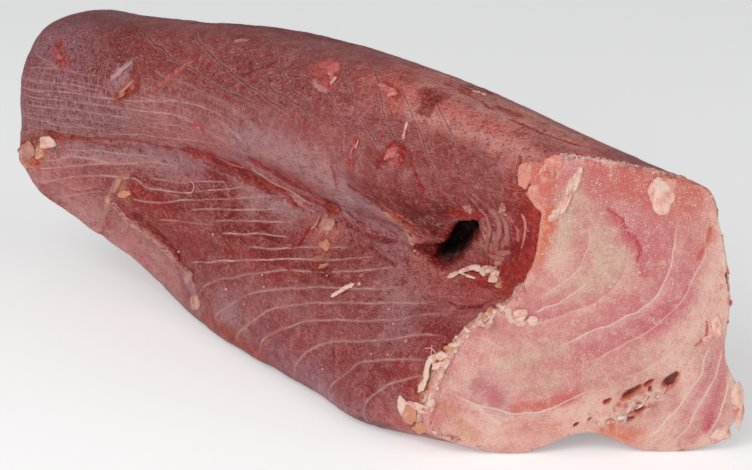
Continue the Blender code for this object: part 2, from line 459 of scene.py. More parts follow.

# %% [markdown]
# ## The seams between the muscle blocks
# Tuna flesh is built of blocks that lie one in the next like stacked cones. Between them
# are thin white sheets. Where a knife has cut across them they show as lines: below the
# groove they bend down to the foot, above it they slant over the crest, and at the narrow
# end they lie level, like threads. Many have a dark line as well, painted shade in the
# groove along the sheet. Painting each line on points a millimetre apart would blur it. So
# the mesh keeps each point's distance to the nearest seam instead, and the material draws
# the line at that distance, as thin as it is.

# %% Seams of the lower side
LOWER_SEAMS = (
    # white line, dark line of painted shade, then along and height of each point of its route
    (0.85, 0.2, -88, 18, -83, 28, -74, 35, -58, 43, -34, 52, -9, 60, 36, 71, 66, 81),
    (0.8, 0.3, -70, 12, -66, 20, -52, 30, -37, 40, -14, 49, 15, 58, 50, 66, 78, 74),
    (0.85, 0.3, -48, 8, -45, 15, -29, 29, -17, 38, 9, 48, 32, 55, 63, 63, 98, 72),
    (0.8, 0.3, -25, 8, -22, 18, -11, 27, 2, 35, 23, 44, 70, 57, 92, 65, 114, 71),
    (0.8, 0.35, 8, 3, 9, 11, 12, 18, 22, 28, 36, 37, 71, 48, 94, 57, 114, 62),
    (0.75, 0.35, 44, 3, 45, 11, 47, 18, 58, 29, 66, 36, 95, 46, 112, 50),
    (0.75, 0.3, 75, 4, 75, 13, 77, 20, 82, 26, 90, 32, 111, 43),
    (0.8, 0, -96, 40, -65, 50, -20, 63, 9, 70, 46, 80),
    (0.75, 0.1, -49, 62, -25, 67, -5, 73, 24, 79),
    (0.85, 0.1, -70, 64, -45, 70, -21, 74),
    (0.75, 0.1, -78, 69, -51, 75, -22, 81),
    (0.7, 0, -97, 71, -59, 79, -36, 85),
    (0.55, 0, -95, 76, -71, 82, -50, 88, -27, 93),
    (0.65, 0, -98, 80, -80, 85, -64, 90),
    (0.5, 0, -130, 81, -109, 83, -96, 86, -76, 90),
    (1, 0.15, -134, 77, -125, 76, -110, 78, -100, 79, -98, 82),
    (0.8, 0.1, -139, 68, -119, 70, -103, 75, -88, 77),
    (0.5, 0, -120, 60, -98, 64, -78, 67),
    (0.95, 0.15, -210, 80, -192, 81, -180, 85, -157, 85, -138, 88),
    (0.8, 0.1, -212, 74, -190, 77, -164, 83, -135, 89, -110, 91),
    (0.85, 0.15, -204, 65, -183, 72, -162, 77, -142, 79),
    (0.6, 0.05, -197, 56, -180, 62, -158, 69),
    (0.8, 0.1, -152, 77, -140, 79, -133, 77),
    # outlines of the small cells near the narrow end
    (0.75, 0.45, -190, 76, -186, 69, -189, 59, -182, 46),
    (0.75, 0.45, -172, 67, -171, 59, -181, 47, -178, 40),
    (0.75, 0.45, -152, 77, -154, 65, -164, 50, -165, 41),
    (0.7, 0.4, -167, 41, -155, 42, -145, 50, -134, 55),
    (0.7, 0.4, -162, 34, -150, 34, -140, 29),
    (0.65, 0.4, -132, 42, -129, 34, -130, 24),
    (0.65, 0.4, -112, 37, -108, 28, -110, 18),
)
print(len(LOWER_SEAMS), "seams below the groove")

# %% Seams of the upper side and the back
UPPER_SEAMS = (
    # white line, dark line of painted shade, then along and height of each point of its route
    (0.1, 0.5, -176, 166, -161, 160, -159, 156, -151, 152, -147, 146),
    (0.1, 0.9, -142, 170, -126, 162, -117, 161, -101, 156, -91, 155, -73, 151, -52, 148, -34, 146),
    (0.05, 0.85, -112, 172, -97, 168, -73, 161, -52, 155, -33, 151, -14, 145),
    (0.05, 0.8, -62, 170, -45, 162, -34, 156, -18, 153, -8, 150, 2, 143),
    (0.05, 0.75, -51, 174, -39, 170, -28, 163, -19, 158, -9, 155, 0, 150),
    (0.05, 0.75, -25, 176, -14, 168, -3, 163, 12, 155, 25, 149, 35, 142),
    (0.05, 0.8, 4, 175, 18, 166, 26, 157, 38, 149, 48, 140, 56, 131),
    (0.05, 0.8, 22, 176, 37, 168, 44, 159, 51, 152, 59, 147, 68, 139),
    (0.05, 0.7, 44, 174, 56, 167, 63, 160, 72, 152, 77, 145, 84, 137, 91, 129),
    (0.05, 0.7, 66, 174, 78, 167, 88, 159, 95, 150, 102, 141, 110, 137, 117, 131),
    (0.05, 0.35, 92, 171, 104, 163, 112, 153, 120, 145, 126, 138),
    # fainter ones lower down
    (0.3, 0.25, -118, 150, -105, 148, -86, 146, -67, 144, -48, 138, -28, 130),
    (0.15, 0.4, -84, 153, -64, 149, -49, 146, -35, 144, -19, 138, -8, 128),
    (0.25, 0.3, -82, 144, -63, 141, -48, 137, -30, 131, -17, 122),
    (0.1, 0.55, -14, 155, -2, 149, 6, 145, 16, 135, 18, 124, 14, 112),
    (0.1, 0.25, -44, 134, -30, 131, -17, 119, -14, 107),
    (0.1, 0.25, 36, 142, 34, 132, 30, 122),
    # level threads at the narrow end
    (0.45, 0, -212, 127, -176, 130, -152, 131),
    (0.6, 0.05, -212, 122, -176, 125, -134, 129, -94, 137),
    (0.5, 0, -212, 118, -175, 120, -135, 124, -85, 130),
    (0.6, 0.05, -210, 113, -170, 115, -133, 118, -92, 122),
    (0.45, 0, -210, 108, -175, 109, -136, 112),
    (1, 0.1, -210, 105, -197, 104, -186, 103, -163, 105),
    (0.9, 0.1, -162, 102, -140, 106, -118, 109, -90, 114, -70, 117),
    (0.45, 0.05, -120, 135, -94, 137, -70, 137, -48, 131),
    (0.55, 0, -67, 133, -56, 129, -47, 124),
    (0.4, 0, -102, 128, -80, 126, -58, 119),
    (0.4, 0, -208, 134, -186, 137, -160, 138),
    (0.5, 0.1, -204, 141, -195, 140, -184, 138),
    (0.55, 0, -188, 88, -160, 91, -128, 93),
)
BACK_PITCH = 24
BACK_ZIGZAG = 4.5
BACK_LEAN = 22
fold = np.abs(((u - 9) % BACK_ZIGZAG) - BACK_ZIGZAG / 2) * BACK_LEAN
back_phase = (x + fold + 5 * noise(skin, 26, 45)) / BACK_PITCH
back_distance = (back_phase - np.round(back_phase)) * BACK_PITCH * 0.72
print(len(UPPER_SEAMS), "seams above the groove")

# %% Which seam each point is nearest to
SEAM_REACH = 6
LINE_REACH = 1.9
behind = eased(9.2, 9.9, u) * (1 - eased(17.3, 17.8, u))
broken = eased(-0.65, 0.25, noise(skin, (22, 9, 9), 51) + 0.6 * noise(skin, (6, 4, 4), 52))
beaded = 0.6 + 0.4 * eased(-0.3, 0.7, noise(skin, (3.2, 3.2, 3.2), 53))

seam_distance = np.full(skin.shape[:2], float(SEAM_REACH))
seam_pale = np.zeros(skin.shape[:2])
seam_dark = np.zeros(skin.shape[:2])
seam_step = np.zeros(skin.shape[:2])
sway_low = np.stack((1.2 * noise(skin, 14, 41), 0 * x, 0.6 * noise(skin, 11, 42)), -1)
sway_high = sway_low + np.stack((1.2 * noise(skin, 9, 43), 0 * x, 0.8 * noise(skin, 6, 44)), -1)
for seam_list, sway in ((LOWER_SEAMS, sway_low), (UPPER_SEAMS, sway_high)):
    for white, dark, *route in seam_list:
        jogging = sway if dark > 0.2 or seam_list is LOWER_SEAMS else sway_low
        run = on_skin(traced(route), SEAMED_SIDE)
        near, signed, place = reach(skin + jogging, normal, run, SEAM_REACH)
        closer = near < np.abs(seam_distance)
        ends = eased(0, 0.06, place) * (1 - eased(0.90, 1, place))
        seam_distance[closer] = signed[closer]
        seam_pale[closer] = np.clip(1.35 * white * ends * (0.5 + 0.5 * broken) * beaded, 0, 1)[closer]
        seam_dark[closer] = (dark * ends * (0.85 + 0.15 * broken))[closer]
        edge = 0.5 * np.tanh(signed / 0.7) * np.exp(-near / 2.5) * (near < SEAM_REACH)
        seam_step += (white + dark) * ends * edge

seam_distance = np.where(behind > 0.5, 0.6 * back_distance, seam_distance)
close_by = (1 - eased(0.75 * LINE_REACH, LINE_REACH, np.abs(seam_distance))) * (1 - on_cap)
seam_pale = np.where(behind > 0.5, 0.90 * behind * broken, seam_pale) * close_by
seam_dark = np.where(behind > 0.5, 0.55 * behind * broken, seam_dark) * close_by
print("seams show on", round(100 * float(np.mean(seam_pale + seam_dark > 0.2))), "% of the skin's points")

# %% [markdown]
# ## Marks of the knife and the bones
# Everything that happened to this side is listed once. Some marks are soft fields of
# colour, such as a bloom or a bruise, and are painted on the mesh. Others are torn, such as
# the groove where the dark strip was cut out. Their edges are finer than the mesh, so they
# go in a second layer, whose strength the material breaks up with fine noise. Torn marks
# also have a height in mm, below 0 for a cut. A third kind is the step, where one layer of
# flesh ends and the next one down begins. Below a step's edge the flesh gets painted shade,
# and along its top a pale rim.

# %% Soft fields of the backbone side
SIDE_FIELDS = (
    # colour, half width, strength, then along and height of each point of its route
    ("plum", 34, 0.7, -205, 118, -165, 130),
    ("lilac", 12, 0.6, -110, 104, -84, 116, -50, 122, -20, 124),
    ("lilac", 14, 0.45, -120, 128, -80, 128, -40, 128),
    ("lilac", 14, 0.3, -200, 138, -178, 126, -160, 112),
    ("lilac", 9, 0.5, -204, 150, -185, 156, -168, 152),
    ("plum", 20, 0.35, -150, 108, -90, 104, -50, 104),
    ("salmon", 18, 0.24, -125, 122, -100, 116, -70, 122),
    ("dark_red", 8, 0.35, -152, 162, -132, 160, -116, 156),
    ("salmon", 5, 0.45, -158, 167, -136, 170, -104, 171),
    ("lilac", 9, 0.45, -206, 104, -170, 108, -130, 112),
    ("lilac", 9, 0.55, -190, 88, -160, 90, -120, 92),
    ("lilac", 8, 0.4, -120, 92, -100, 92, -84, 94),
    ("lilac", 16, 0.55, -45, 124, -10, 116, 30, 103),
    ("bloom", 12, 0.35, -36, 118, -8, 112, 12, 108),
    ("bloom", 6, 0.35, 6, 128, 12, 118, 14, 106),
    ("lilac", 12, 0.55, 10, 101, 31, 103, 45, 96, 58, 82, 70, 70, 80, 60),
    ("brown_red", 20, 0.45, -150, 160, -90, 150, -20, 158),
    ("brown_red", 20, 0.4, 20, 160, 70, 150, 110, 140),
    ("salmon", 9, 0.45, 80, 170, 112, 163, 140, 156),
    ("salmon", 10, 0.4, 30, 170, 60, 168, 90, 164),
    ("brown_red", 16, 0.5, 55, 128, 95, 122),
    ("membrane", 7, 0.35, 46, 122, 60, 124, 74, 128),
    ("brown_red", 18, 0.4, -138, 64, -105, 56, -70, 58),
    ("dark_red", 5, 0.6, -143, 75, -128, 73, -108, 72, -90, 75),
    ("dark_red", 13, 0.25, -140, 62, -118, 60, -92, 50, -60, 46),
    ("salmon", 14, 0.5, -206, 70, -184, 62, -168, 48),
    ("rosy", 5, 0.65, -186, 66, -176, 62),
    ("rosy", 3.5, 0.6, -184, 57, -174, 55),
    ("lilac", 4, 0.75, -97, 31, -92, 24, -89, 17),
    ("bloom", 9, 0.35, -150, 54, -138, 46, -126, 38),
    ("pale_flesh", 13, 0.9, -176, 44, -146, 26, -118, 14),
    ("rosy", 5, 0.4, -150, 38, -136, 28),
    ("rosy", 5, 0.4, -122, 26, -112, 18),
    ("pale_flesh", 12, 0.6, -204, 74, -186, 62, -170, 54),
    ("blood", 4, 0.5, -140, 74, -128, 70, -112, 70),
    ("blood", 10, 0.35, -132, 66, -112, 56, -92, 52),
    ("blood", 6, 0.45, -62, 62, -44, 58, -20, 54),
    ("fold", 4, 0.8, -147, 78, -150, 69, -160, 57, -168, 44),
    ("amber", 3, 0.6, -147, 74, -143, 67),
    ("fold", 4, 0.65, -158, 58, -144, 52, -128, 45, -110, 37),
    ("rosy", 4, 0.55, -160, 47, -148, 42),
    ("fold", 4, 0.6, -98, 35, -90, 28, -89, 16),
    ("bloom", 7, 0.3, -152, 44, -136, 36, -112, 26),
    ("lilac", 5, 0.75, -98, 34, -90, 27, -86, 18),
    ("plum", 16, 0.45, -20, 20, 30, 16, 80, 14),
    ("lilac", 7, 0.6, -58, 20, -48, 24, -41, 19),
    ("lilac", 8, 0.45, 16, 14, 32, 12),
    ("lilac", 6, 0.6, 40, 9, 62, 8, 86, 4, 118, 6),
    ("blood", 10, 0.2, 20, 34, 60, 28, 100, 30),
    ("rust", 5, 0.55, -78, 12, -52, 10, -22, 8),
    ("blood", 7, 0.3, -8, 32, 6, 28, 16, 26),
    ("dark_red", 3, 0.55, 73, 38, 78, 25),
    ("dark_red", 3, 0.5, 81, 38, 88, 33),
    ("dark_red", 4, 0.35, 92, 44, 97, 38),
    # about the groove
    ("dark_red", 6, 0.4, -96, 103, -70, 100, -40, 93, -10, 92),
    ("lilac", 6, 0.5, -170, 92, -140, 94, -110, 94),
    ("fold", 4, 0.4, -205, 96, -170, 98, -140, 101),
    ("bloom", 5, 0.3, -200, 84, -160, 88, -130, 90),
    ("salmon", 5, 0.35, -140, 107, -96, 113, -66, 117),
    ("membrane", 8, 0.95, -68, 86, -45, 84, -24, 86),
    ("lilac", 7, 0.7, -40, 88, -20, 92, 6, 98),
    ("membrane", 5, 0.6, -52, 76, -34, 77, -24, 80),
    ("membrane", 4, 0.5, -128, 82, -108, 86),
    ("dark_red", 7, 0.9, -84, 89, -78, 82, -74, 76, -68, 68),
    ("dark_red", 6, 0.8, -64, 68, -50, 66, -38, 67, -20, 68),
    ("dark_red", 5, 0.55, -36, 58, -18, 61, 0, 62, 12, 65),
    ("dark_red", 4, 0.35, 4, 59, 14, 61, 28, 62),
    ("dark_red", 2.5, 0.6, -46, 76, -40, 74),
    ("salmon", 6, 0.6, -6, 84, 4, 83),
    ("salmon", 5, 0.45, 0, 78, 6, 72),
    ("rust", 3, 0.45, 3, 78, 6, 74, 9, 69),
    # round the hollow
    ("dark_red", 9, 0.75, 36, 114, 56, 111, 72, 105, 84, 103),
    ("dark_red", 8, 0.75, 60, 118, 80, 118, 98, 120),
    ("deep_red", 6, 0.6, 62, 110, 76, 107, 88, 106),
    ("deep_red", 4, 0.5, 84, 116, 98, 117, 112, 121),
    ("fold", 11, 0.85, 114, 120, 124, 114, 122, 102),
    ("membrane", 6, 0.45, 118, 122, 124, 110),
    ("rosy", 7, 0.55, 134, 132, 141, 124, 142, 112, 138, 103),
    ("blood", 10, 0.95, 140, 136, 147, 126, 147, 112, 143, 100, 136, 92),
    ("dark_red", 6, 0.65, 138, 130, 144, 120, 144, 108, 138, 98),
    ("dark_red", 3, 0.6, 137, 118, 139, 111, 135, 106, 129, 102),
    ("brown_red", 6, 0.45, 104, 126, 120, 130, 132, 134),
    ("salmon", 5, 0.6, 40, 100, 52, 98, 60, 94, 68, 84),
    ("salmon", 10, 0.4, 70, 80, 92, 78, 104, 80),
    ("blood", 9, 0.8, 114, 86, 130, 92, 144, 100),
    ("dark_red", 6, 0.7, 112, 122, 124, 118, 134, 112, 132, 102),
    ("salmon", 9, 0.5, 120, 82, 130, 84, 138, 82),
    ("rosy", 10, 0.4, 112, 74, 124, 76),
    ("blood", 8, 0.5, 104, 60, 116, 60, 124, 60),
    ("dark_red", 7, 0.4, 92, 66, 108, 64, 120, 62),
    ("blood", 9, 0.4, 100, 42, 112, 36, 116, 26),
    # the fatty foot by the sawn face
    ("salmon", 10, 0.65, 92, 8, 104, 12, 114, 14),
    ("bloom", 6, 0.6, 96, 4, 108, 5, 118, 8),
    # last, over all others
    ("silver", 7, 0.45, 24, 108, 34, 106, 44, 103),
    ("dark_red", 5, 0.45, -46, 78, -40, 75, -34, 70),
    ("brown_red", 12, 0.45, 88, 156, 102, 149, 116, 140),
    ("rust", 5, 0.55, 141, 90, 148, 96, 154, 101),
    ("orange", 2.5, 0.5, 158, 116, 157, 106, 154, 95),
)
print(len(SIDE_FIELDS), "soft fields on the backbone side")

# %% Torn marks of the backbone side
TORN_MARKS = (
    # colour, half width, height, then along and height of each point of its route
    ("rust", 0.9, -0.4, -210, 92, -191, 94, -168, 98, -141, 101, -118, 101),
    ("rust", 0.6, -0.2, -180, 97, -160, 95, -140, 97),
    ("blood", 1.4, -0.8, -120, 101, -104, 104, -90, 106),
    ("dark_red", 1.6, -0.8, -108, 103, -96, 104),
    ("blood", 4.4, -1.4, -94, 104, -76, 102, -60, 98),
    ("dark_red", 1.6, -0.8, -84, 101, -68, 97, -52, 94),
    ("blood", 3, -1.4, -62, 99, -46, 95, -28, 92, -20, 91),
    ("blood", 2.8, -1, -48, 111, -36, 107, -28, 103, -18, 100, -7, 97, 3, 95),
    ("dark_red", 1.2, -0.8, -40, 107, -28, 102, -14, 98, -2, 95),
    ("blood", 2.2, -0.8, -18, 94, -7, 93, 4, 94),
    ("bloom", 0.9, 0.8, -52, 105, -41, 100, -34, 97, -26, 93, -16, 91),
    ("bloom", 0.6, 0.5, -38, 96, -26, 90, -12, 88),
    ("dark_red", 0.8, -0.4, 14, 124, 14, 116, 12, 108),
    ("dark_red", 1.1, -0.4, 23, 114, 29, 112, 38, 109, 48, 105),
    ("dark_red", 1.2, -0.5, 7, 88, 18, 87, 30, 86, 48, 87),
    ("dark_red", 0.8, -0.3, 34, 82, 44, 80, 57, 78),
    ("dark_red", 0.7, -0.3, 10, 94, 22, 90, 34, 88),
    ("blood", 1.2, -0.8, -18, 69, -13, 73, -12, 80),
    ("dark_red", 2.2, -1.8, 4, 65, 9, 67, 14, 66),
    ("fold", 1.2, 0.6, 2, 69, 8, 71, 12, 71),
    ("fold", 1.2, 0.7, -5, 87, -6, 81),
    ("fold", 1, 0.6, 0, 87, 0, 80),
    ("fold", 0.9, 0.6, 4, 86, 5, 79),
    # loose tissue along the ridges of the narrow end
    ("fold", 1, 0.6, -149, 76, -150, 69, -155, 63),
    ("fold", 0.8, 0.6, -144, 54, -132, 49),
    ("fold", 0.8, 0.5, -104, 38, -97, 35),
    ("blood", 0.9, -0.6, -109, 42, -102, 36),
    # the fatty end of the groove
    ("fold", 6, 0.8, -218, 86, -208, 87, -202, 84),
    ("amber", 3.4, 0.8, -217, 80, -210, 78),
    ("orange", 2.2, 0.2, -203, 80, -200, 75),
    # the pale ridge over the small cells
    ("bloom", 1.3, 1, -153, 63, -144, 53, -128, 47, -110, 39, -96, 33),
    ("dark_red", 2.4, -0.9, -138, 56, -124, 51, -106, 43),
    # the lip of the hollow's tail
    ("orange", 1.6, 0.6, 50, 104, 57, 100, 61, 94, 66, 89, 74, 87),
    ("bloom", 2.2, 0.5, 46, 102, 54, 97, 58, 91, 63, 86),
    ("rust", 1.6, -0.9, -214, 87, -205, 88),
    ("rust", 1.4, -0.8, -196, 97, -189, 96, -188, 91),
    # gouges and flaps of the upper side
    ("rosy", 4.6, -2, -7, 169, 0, 170, 2, 165),
    ("salmon", 3.4, -0.6, -6, 171, 1, 172),
    ("bloom", 1, 0.7, -8, 165, -2, 162, 4, 162),
    ("lilac", 5, 1.4, -144, 137, -139, 144, -133, 150),
    ("brown_red", 2.4, -0.4, -129, 151, -129, 143, -131, 137),
    ("rust", 1.8, -1.8, -142, 129, -136, 132, -130, 136, -127, 140),
    ("salmon", 1.2, 0.8, -137, 135, -131, 140),
    ("rosy", 3.2, 0.5, -190, 148, -186, 143, -182, 140),
    ("rust", 1.3, 0.3, -186, 144, -182, 140),
    ("rosy", 0.9, 0.4, -86, 124, -82, 128, -78, 126, -78, 121, -83, 120, -86, 124),
    ("salmon", 0.9, 0.6, -116, 138, -105, 148, -92, 159),
    ("rust", 3.2, -1.2, 34, 171, 42, 171, 46, 169),
    ("salmon", 1.6, 0.8, 36, 173, 46, 172),
    ("rust", 1.8, -1.4, 31, 142, 28, 135, 28, 129),
    ("amber", 0.9, 0.5, 29, 139, 28, 132),
    ("blood", 1.6, -1.6, 50, 136, 52, 142, 56, 145, 61, 144, 61, 138),
    ("rosy", 2.6, 0.8, 55, 141, 58, 139),
    ("blood", 0.9, -1, 46, 131, 48, 137),
    ("blood", 0.9, -1.2, 66, 143, 69, 137, 72, 132, 76, 125),
    ("dark_red", 5.5, -0.2, 66, 170, 78, 170),
    ("bloom", 1.2, 0.4, 61, 157, 61, 150),
    ("dark_red", 0.5, -0.4, -56, 158, -46, 163, -36, 170),
    ("dark_red", 0.5, -0.4, -62, 164, -50, 170),
    ("bloom", 1, 0.3, -72, 171, -66, 172),
    # round the hollow
    ("dark_red", 3, -0.8, 76, 100, 84, 101, 91, 106),
    ("dark_red", 1, -0.6, 42, 111, 56, 106, 66, 100),
    ("dark_red", 0.8, -0.6, 50, 114, 64, 110, 78, 103, 84, 98),
    ("dark_red", 0.8, -0.6, 60, 118, 73, 114, 82, 109, 89, 104),
    ("salmon", 0.9, 0.3, 44, 107, 53, 105, 61, 103, 64, 98, 66, 92),
    ("blood", 3, -1, 92, 115, 104, 118, 114, 120),
    ("bloom", 1.8, 1, 103, 121, 106, 121),
    ("bloom", 1.6, 1.2, 128, 129, 129, 126),
    ("blood", 1.8, -1.4, 137, 117, 139, 111, 135, 106, 130, 103),
    ("blood", 4.6, -0.6, 122, 94, 134, 95, 145, 99, 147, 106),
    ("blood", 2, -0.5, 113, 83, 120, 84, 126, 86),
    ("blood", 3.4, -0.5, 142, 138, 149, 132, 152, 123, 150, 112, 148, 102, 145, 94),
    ("orange", 2, 0.3, 150, 90, 144, 84, 138, 79),
    ("dark_red", 0.7, -0.6, 100, 73, 113, 74, 126, 78),
    ("dark_red", 0.5, -0.4, 112, 74, 122, 77, 131, 82),
    ("dark_red", 0.7, -0.3, 39, 35, 42, 31, 44, 28),
    ("blood", 1.2, 0.4, -16, 60, -6, 58),
    # the fatty chunk at the corner
    ("fold", 6, 0.6, 140, 150, 146, 142, 150, 156),
    ("orange", 4, -0.5, 147, 150, 150, 144, 156, 142),
    ("rust", 1.2, -0.9, 136, 156, 137, 146, 141, 140, 150, 134),
    # the foot
    ("rust", 1.4, 0.3, -70, 11, -56, 10, -41, 8, -25, 8),
    ("silver", 1.4, 0.2, 50, 4, 84, 3, 118, 6),
)
STEPS = (
    # height, reach, strength of the painted shade on the lower side, then along and height of
    # each point of its route; the layer to the left is higher
    (1, 5, 0.35, -176, 34, -167, 44, -160, 54, -153, 62),
    (0.8, 5, 0.3, -206, 62, -192, 68, -176, 66, -158, 72),
    (1.3, 7, 0.5, -88, 14, -89, 26, -95, 34, -110, 40, -128, 47, -144, 54, -153, 63, -149, 78),
    (0.9, 5, 0.7, -68, 70, -68, 78, -74, 86, -84, 92),
    (0.7, 5, 0.6, -14, 69, -28, 70, -46, 68, -66, 68),
    (0.9, 5, 0.55, -90, 74, -108, 76, -128, 78, -143, 79),
    (0.8, 5, 0.45, -26, 90, -44, 89, -62, 92, -84, 96, -100, 100),
    (1, 6, 0.5, 6, 91, -10, 100, -28, 107, -46, 113),
    (0.7, 4, 0.4, 30, 59, 12, 63, -6, 61, -34, 57),
    (0.8, 5, 0.5, 66, 90, 60, 98, 48, 103, 34, 106),
)
print(len(TORN_MARKS), "torn marks and", len(STEPS), "steps on the backbone side")

# %% Marks on the top
TOP_FIELDS = (
    # colour, half width, strength, then along and across of each point of its route
    ("dark_red", 9, 0.8, -125, 8, -80, 14, -40, 20, 0, 24),
    ("dark_red", 6, 0.6, -120, -12, -70, 0, -20, 10),
    ("deep_red", 4, 0.6, -115, 6, -70, 14, -25, 22),
    ("brown_red", 10, 0.6, -170, -12, -130, -4),
    ("salmon", 16, 0.75, 40, 2, 90, 4, 150, 6),
    ("salmon", 14, 0.7, 60, 12, 100, 14, 150, 16),
    ("bloom", 8, 0.55, 50, 4, 90, 6, 150, 8),
    ("cut_salmon", 10, 0.5, 60, 4, 100, 6, 150, 8),
    ("salmon", 7, 0.8, 50, -20, 95, -17, 127, -18, 152, -20),
    ("bloom", 5, 0.65, 62, -21, 95, -19, 127, -20, 154, -21),
    ("bloom", 9, 0.45, 96, 2, 130, 4, 156, 6),
    ("cut_salmon", 6, 0.5, 120, -6, 146, -4, 160, 0),
    ("cut_salmon", 5, 0.4, 104, -2, 124, 0, 150, 2),
    ("bloom", 6, 0.5, 60, -8, 100, -6, 130, -4, 156, 0),
    ("rust", 8, 0.5, -20, 26, 30, 30, 80, 30),
)
TOP_TEARS = (
    # colour, half width, height, then along and across of each point of its route
    ("bloom", 0.9, 0.3, 70, 6, 95, 8, 125, 10),
    ("bloom", 1.6, 0.4, 108, 9, 130, 8, 150, 12),
    ("bloom", 0.8, 0.3, 20, 4, 45, 8, 80, 12),
    ("bloom", 2, 0.4, 54, 9, 66, 11),
    ("rust", 3.4, -0.5, 102, -1, 114, 1),
    ("salmon", 3, -0.4, 142, 16, 156, 20),
    ("rust", 1.1, -1, 118, -6, 140, -3, 158, 4),
    ("rust", 1, -0.4, 64, 0, 88, -2, 104, -5),
)
print(len(TOP_FIELDS) + len(TOP_TEARS), "marks on the top")

# %% [markdown]
# ## The hollow beside the sawn face
# A knife point or a bone left a deep dark hole here, with a wet tail that runs to a point
# along the groove. The solid has a plain opening at this place. In the skin it is a pit:
# the points inside its outline are pushed straight in, the more the nearer they are to its
# middle. Its deep end is painted black, as painted shade. The flesh beside it is crumpled in
# folds that follow the pit's round edge, with a painted highlight on their crests and
# painted shade in their troughs.

# %% The hollow
HOLE_DEPTH = 24
TAIL_DEPTH = 4.5
HOLLOW_OUTLINE = (
    # (along, height), round the deep end and then out to the tail's point and back
    (96, 112), (103, 114), (110, 115.5), (111, 111), (108, 105), (100, 96), (92, 88.5), (85, 83.5),
    (77, 84.5), (69, 86), (60, 87.5), (67, 90.5), (76, 92.5), (81, 96), (86, 101), (91, 107),
)
FOLD_PITCH = 4.2
SCOOP_MIDDLE = (112, 105)
SCOOP_RADIUS = 26
RING_MIDDLE = (100, 103)


def inside_outline(outline):
    """How far inside a closed outline of (along, height) each point of the backbone side
    lies: its distance to the nearest edge in mm, below 0 outside. A point is inside if a
    level line from it crosses the outline an odd number of times."""
    edge = smooth_run(tuple(outline) + (outline[0],))
    near = np.full(x.shape, FAR_OFF)
    crossings = np.zeros(x.shape, int)
    close = BACKBONE_SIDE & (np.hypot(x - edge[:, 0].mean(), z - edge[:, 1].mean()) < 60)
    px = x[close] + 0.9 * noise(skin[close], 4, 96)
    pz = z[close] + 0.9 * noise(skin[close], 4, 97)
    best, odd = near[close], crossings[close]
    for (ax, az), (bx, bz) in zip(edge, edge[1:]):
        dx, dz = bx - ax, bz - az
        f = np.clip(((px - ax) * dx + (pz - az) * dz) / (dx ** 2 + dz ** 2), 0, 1)
        best = np.minimum(best, np.hypot(px - ax - f * dx, pz - az - f * dz))
        if az != bz:
            odd = odd + (((az > pz) != (bz > pz)) & (px < ax + (pz - az) * dx / dz))
    near[close] = best
    crossings[close] = odd
    return np.where(crossings % 2 == 1, near, -near)


inside = inside_outline(HOLLOW_OUTLINE)
deep_end = eased(75, 82, x)
hole = eased(0.2, 3.2, inside) * deep_end
tail = eased(0.0, 1.6, inside) * (1 - 0.6 * deep_end)
from_scoop = np.hypot(x - SCOOP_MIDDLE[0], z - SCOOP_MIDDLE[1]) / SCOOP_RADIUS
scoop = (1 - eased(0.3, 1.7, from_scoop)) * BACKBONE_SIDE

ring = np.hypot(x - RING_MIDDLE[0], 0.9 * (z - RING_MIDDLE[1])) + 1.6 * noise(skin, 8, 95)
folded = eased(9, 12, ring) * (1 - eased(31, 38, ring)) * eased(100, 108, x) * eased(88, 97, z)
folded = folded * (1 - eased(128, 134, z)) * (inside < 0) * BACKBONE_SIDE
fold_phase = ring * 2 * math.pi / FOLD_PITCH + 2.4 * noise(skin, 6, 98)
fold_wave = np.sin(fold_phase) * (0.5 + 0.5 * noise(skin, 4, 99))
hollow_depth = HOLE_DEPTH * hole + TAIL_DEPTH * tail + 3.5 * scoop
print("the hollow is", round(float(hollow_depth.max()), 1), "mm deep")

# %% [markdown]
# ## Relief and paint
# Seams, marks and the hollow each move the skin along its own normal, or in the hollow's
# case straight across the loin. Under them lies noise: long soft swells, and finer unevenness
# that a knife leaves on half-frozen flesh. The paint is laid in the same order, field over
# field, and the torn marks go in their own layer.

# %% Relief and soft paint of the skin
tint = np.broadcast_to(COLOURS["flesh"], skin.shape).copy()
relief = 0.8 * noise(skin, 42, 61) + 0.45 * noise(skin, 15, 62) + 0.22 * noise(skin, (5, 5, 3), 63)
relief += 0.14 * noise(skin, (2.6, 2.6, 2.2), 64)
relief += 0.10 * seam_pale * bell(seam_distance, 0.9) - 0.22 * seam_dark * bell(seam_distance, 0.8)
relief += 0.38 * seam_step

swirl = layered(skin, 30, 71, 4)
tint = lay_over(
    tint,
    ("lilac", 0.42 * eased(-0.2, 1.1, swirl)),
    ("brown_red", 0.45 * eased(0.1, 1.1, -swirl)),
    ("salmon", 0.24 * eased(0.2, 1.2, layered(skin, 18, 81, 3))),
    # painted shade on the lower side of each seam's step
    ("dark_red", 0.5 * np.clip(-seam_step, 0, 1)),
)

for fields, place in ((SIDE_FIELDS, on_skin), (TOP_FIELDS, on_top)):
    for name, half_width, strength, *route in fields:
        tint = lay_over(tint, (name, strength * brush(place(traced(route)), half_width, 0.85, 0.4)))
for height, spread, dark, *route in STEPS:
    near, signed, place = reach(skin + sway_high, normal, on_skin(traced(route)), 3 * spread)
    ends = eased(0, 0.12, place) * (1 - eased(0.88, 1, place)) * (near < 3 * spread)
    relief += height * ends * 0.5 * np.tanh(signed / 0.8) * np.exp(-near / spread)
    # painted shade on the lower side of each step, and a pale rim on its upper side
    tint = lay_over(
        tint,
        ("dark_red", dark * ends * (signed < 0) * np.exp(-near / spread)),
        ("bloom", 0.5 * ends * (signed > 0) * np.exp(-near / 1.5)),
    )
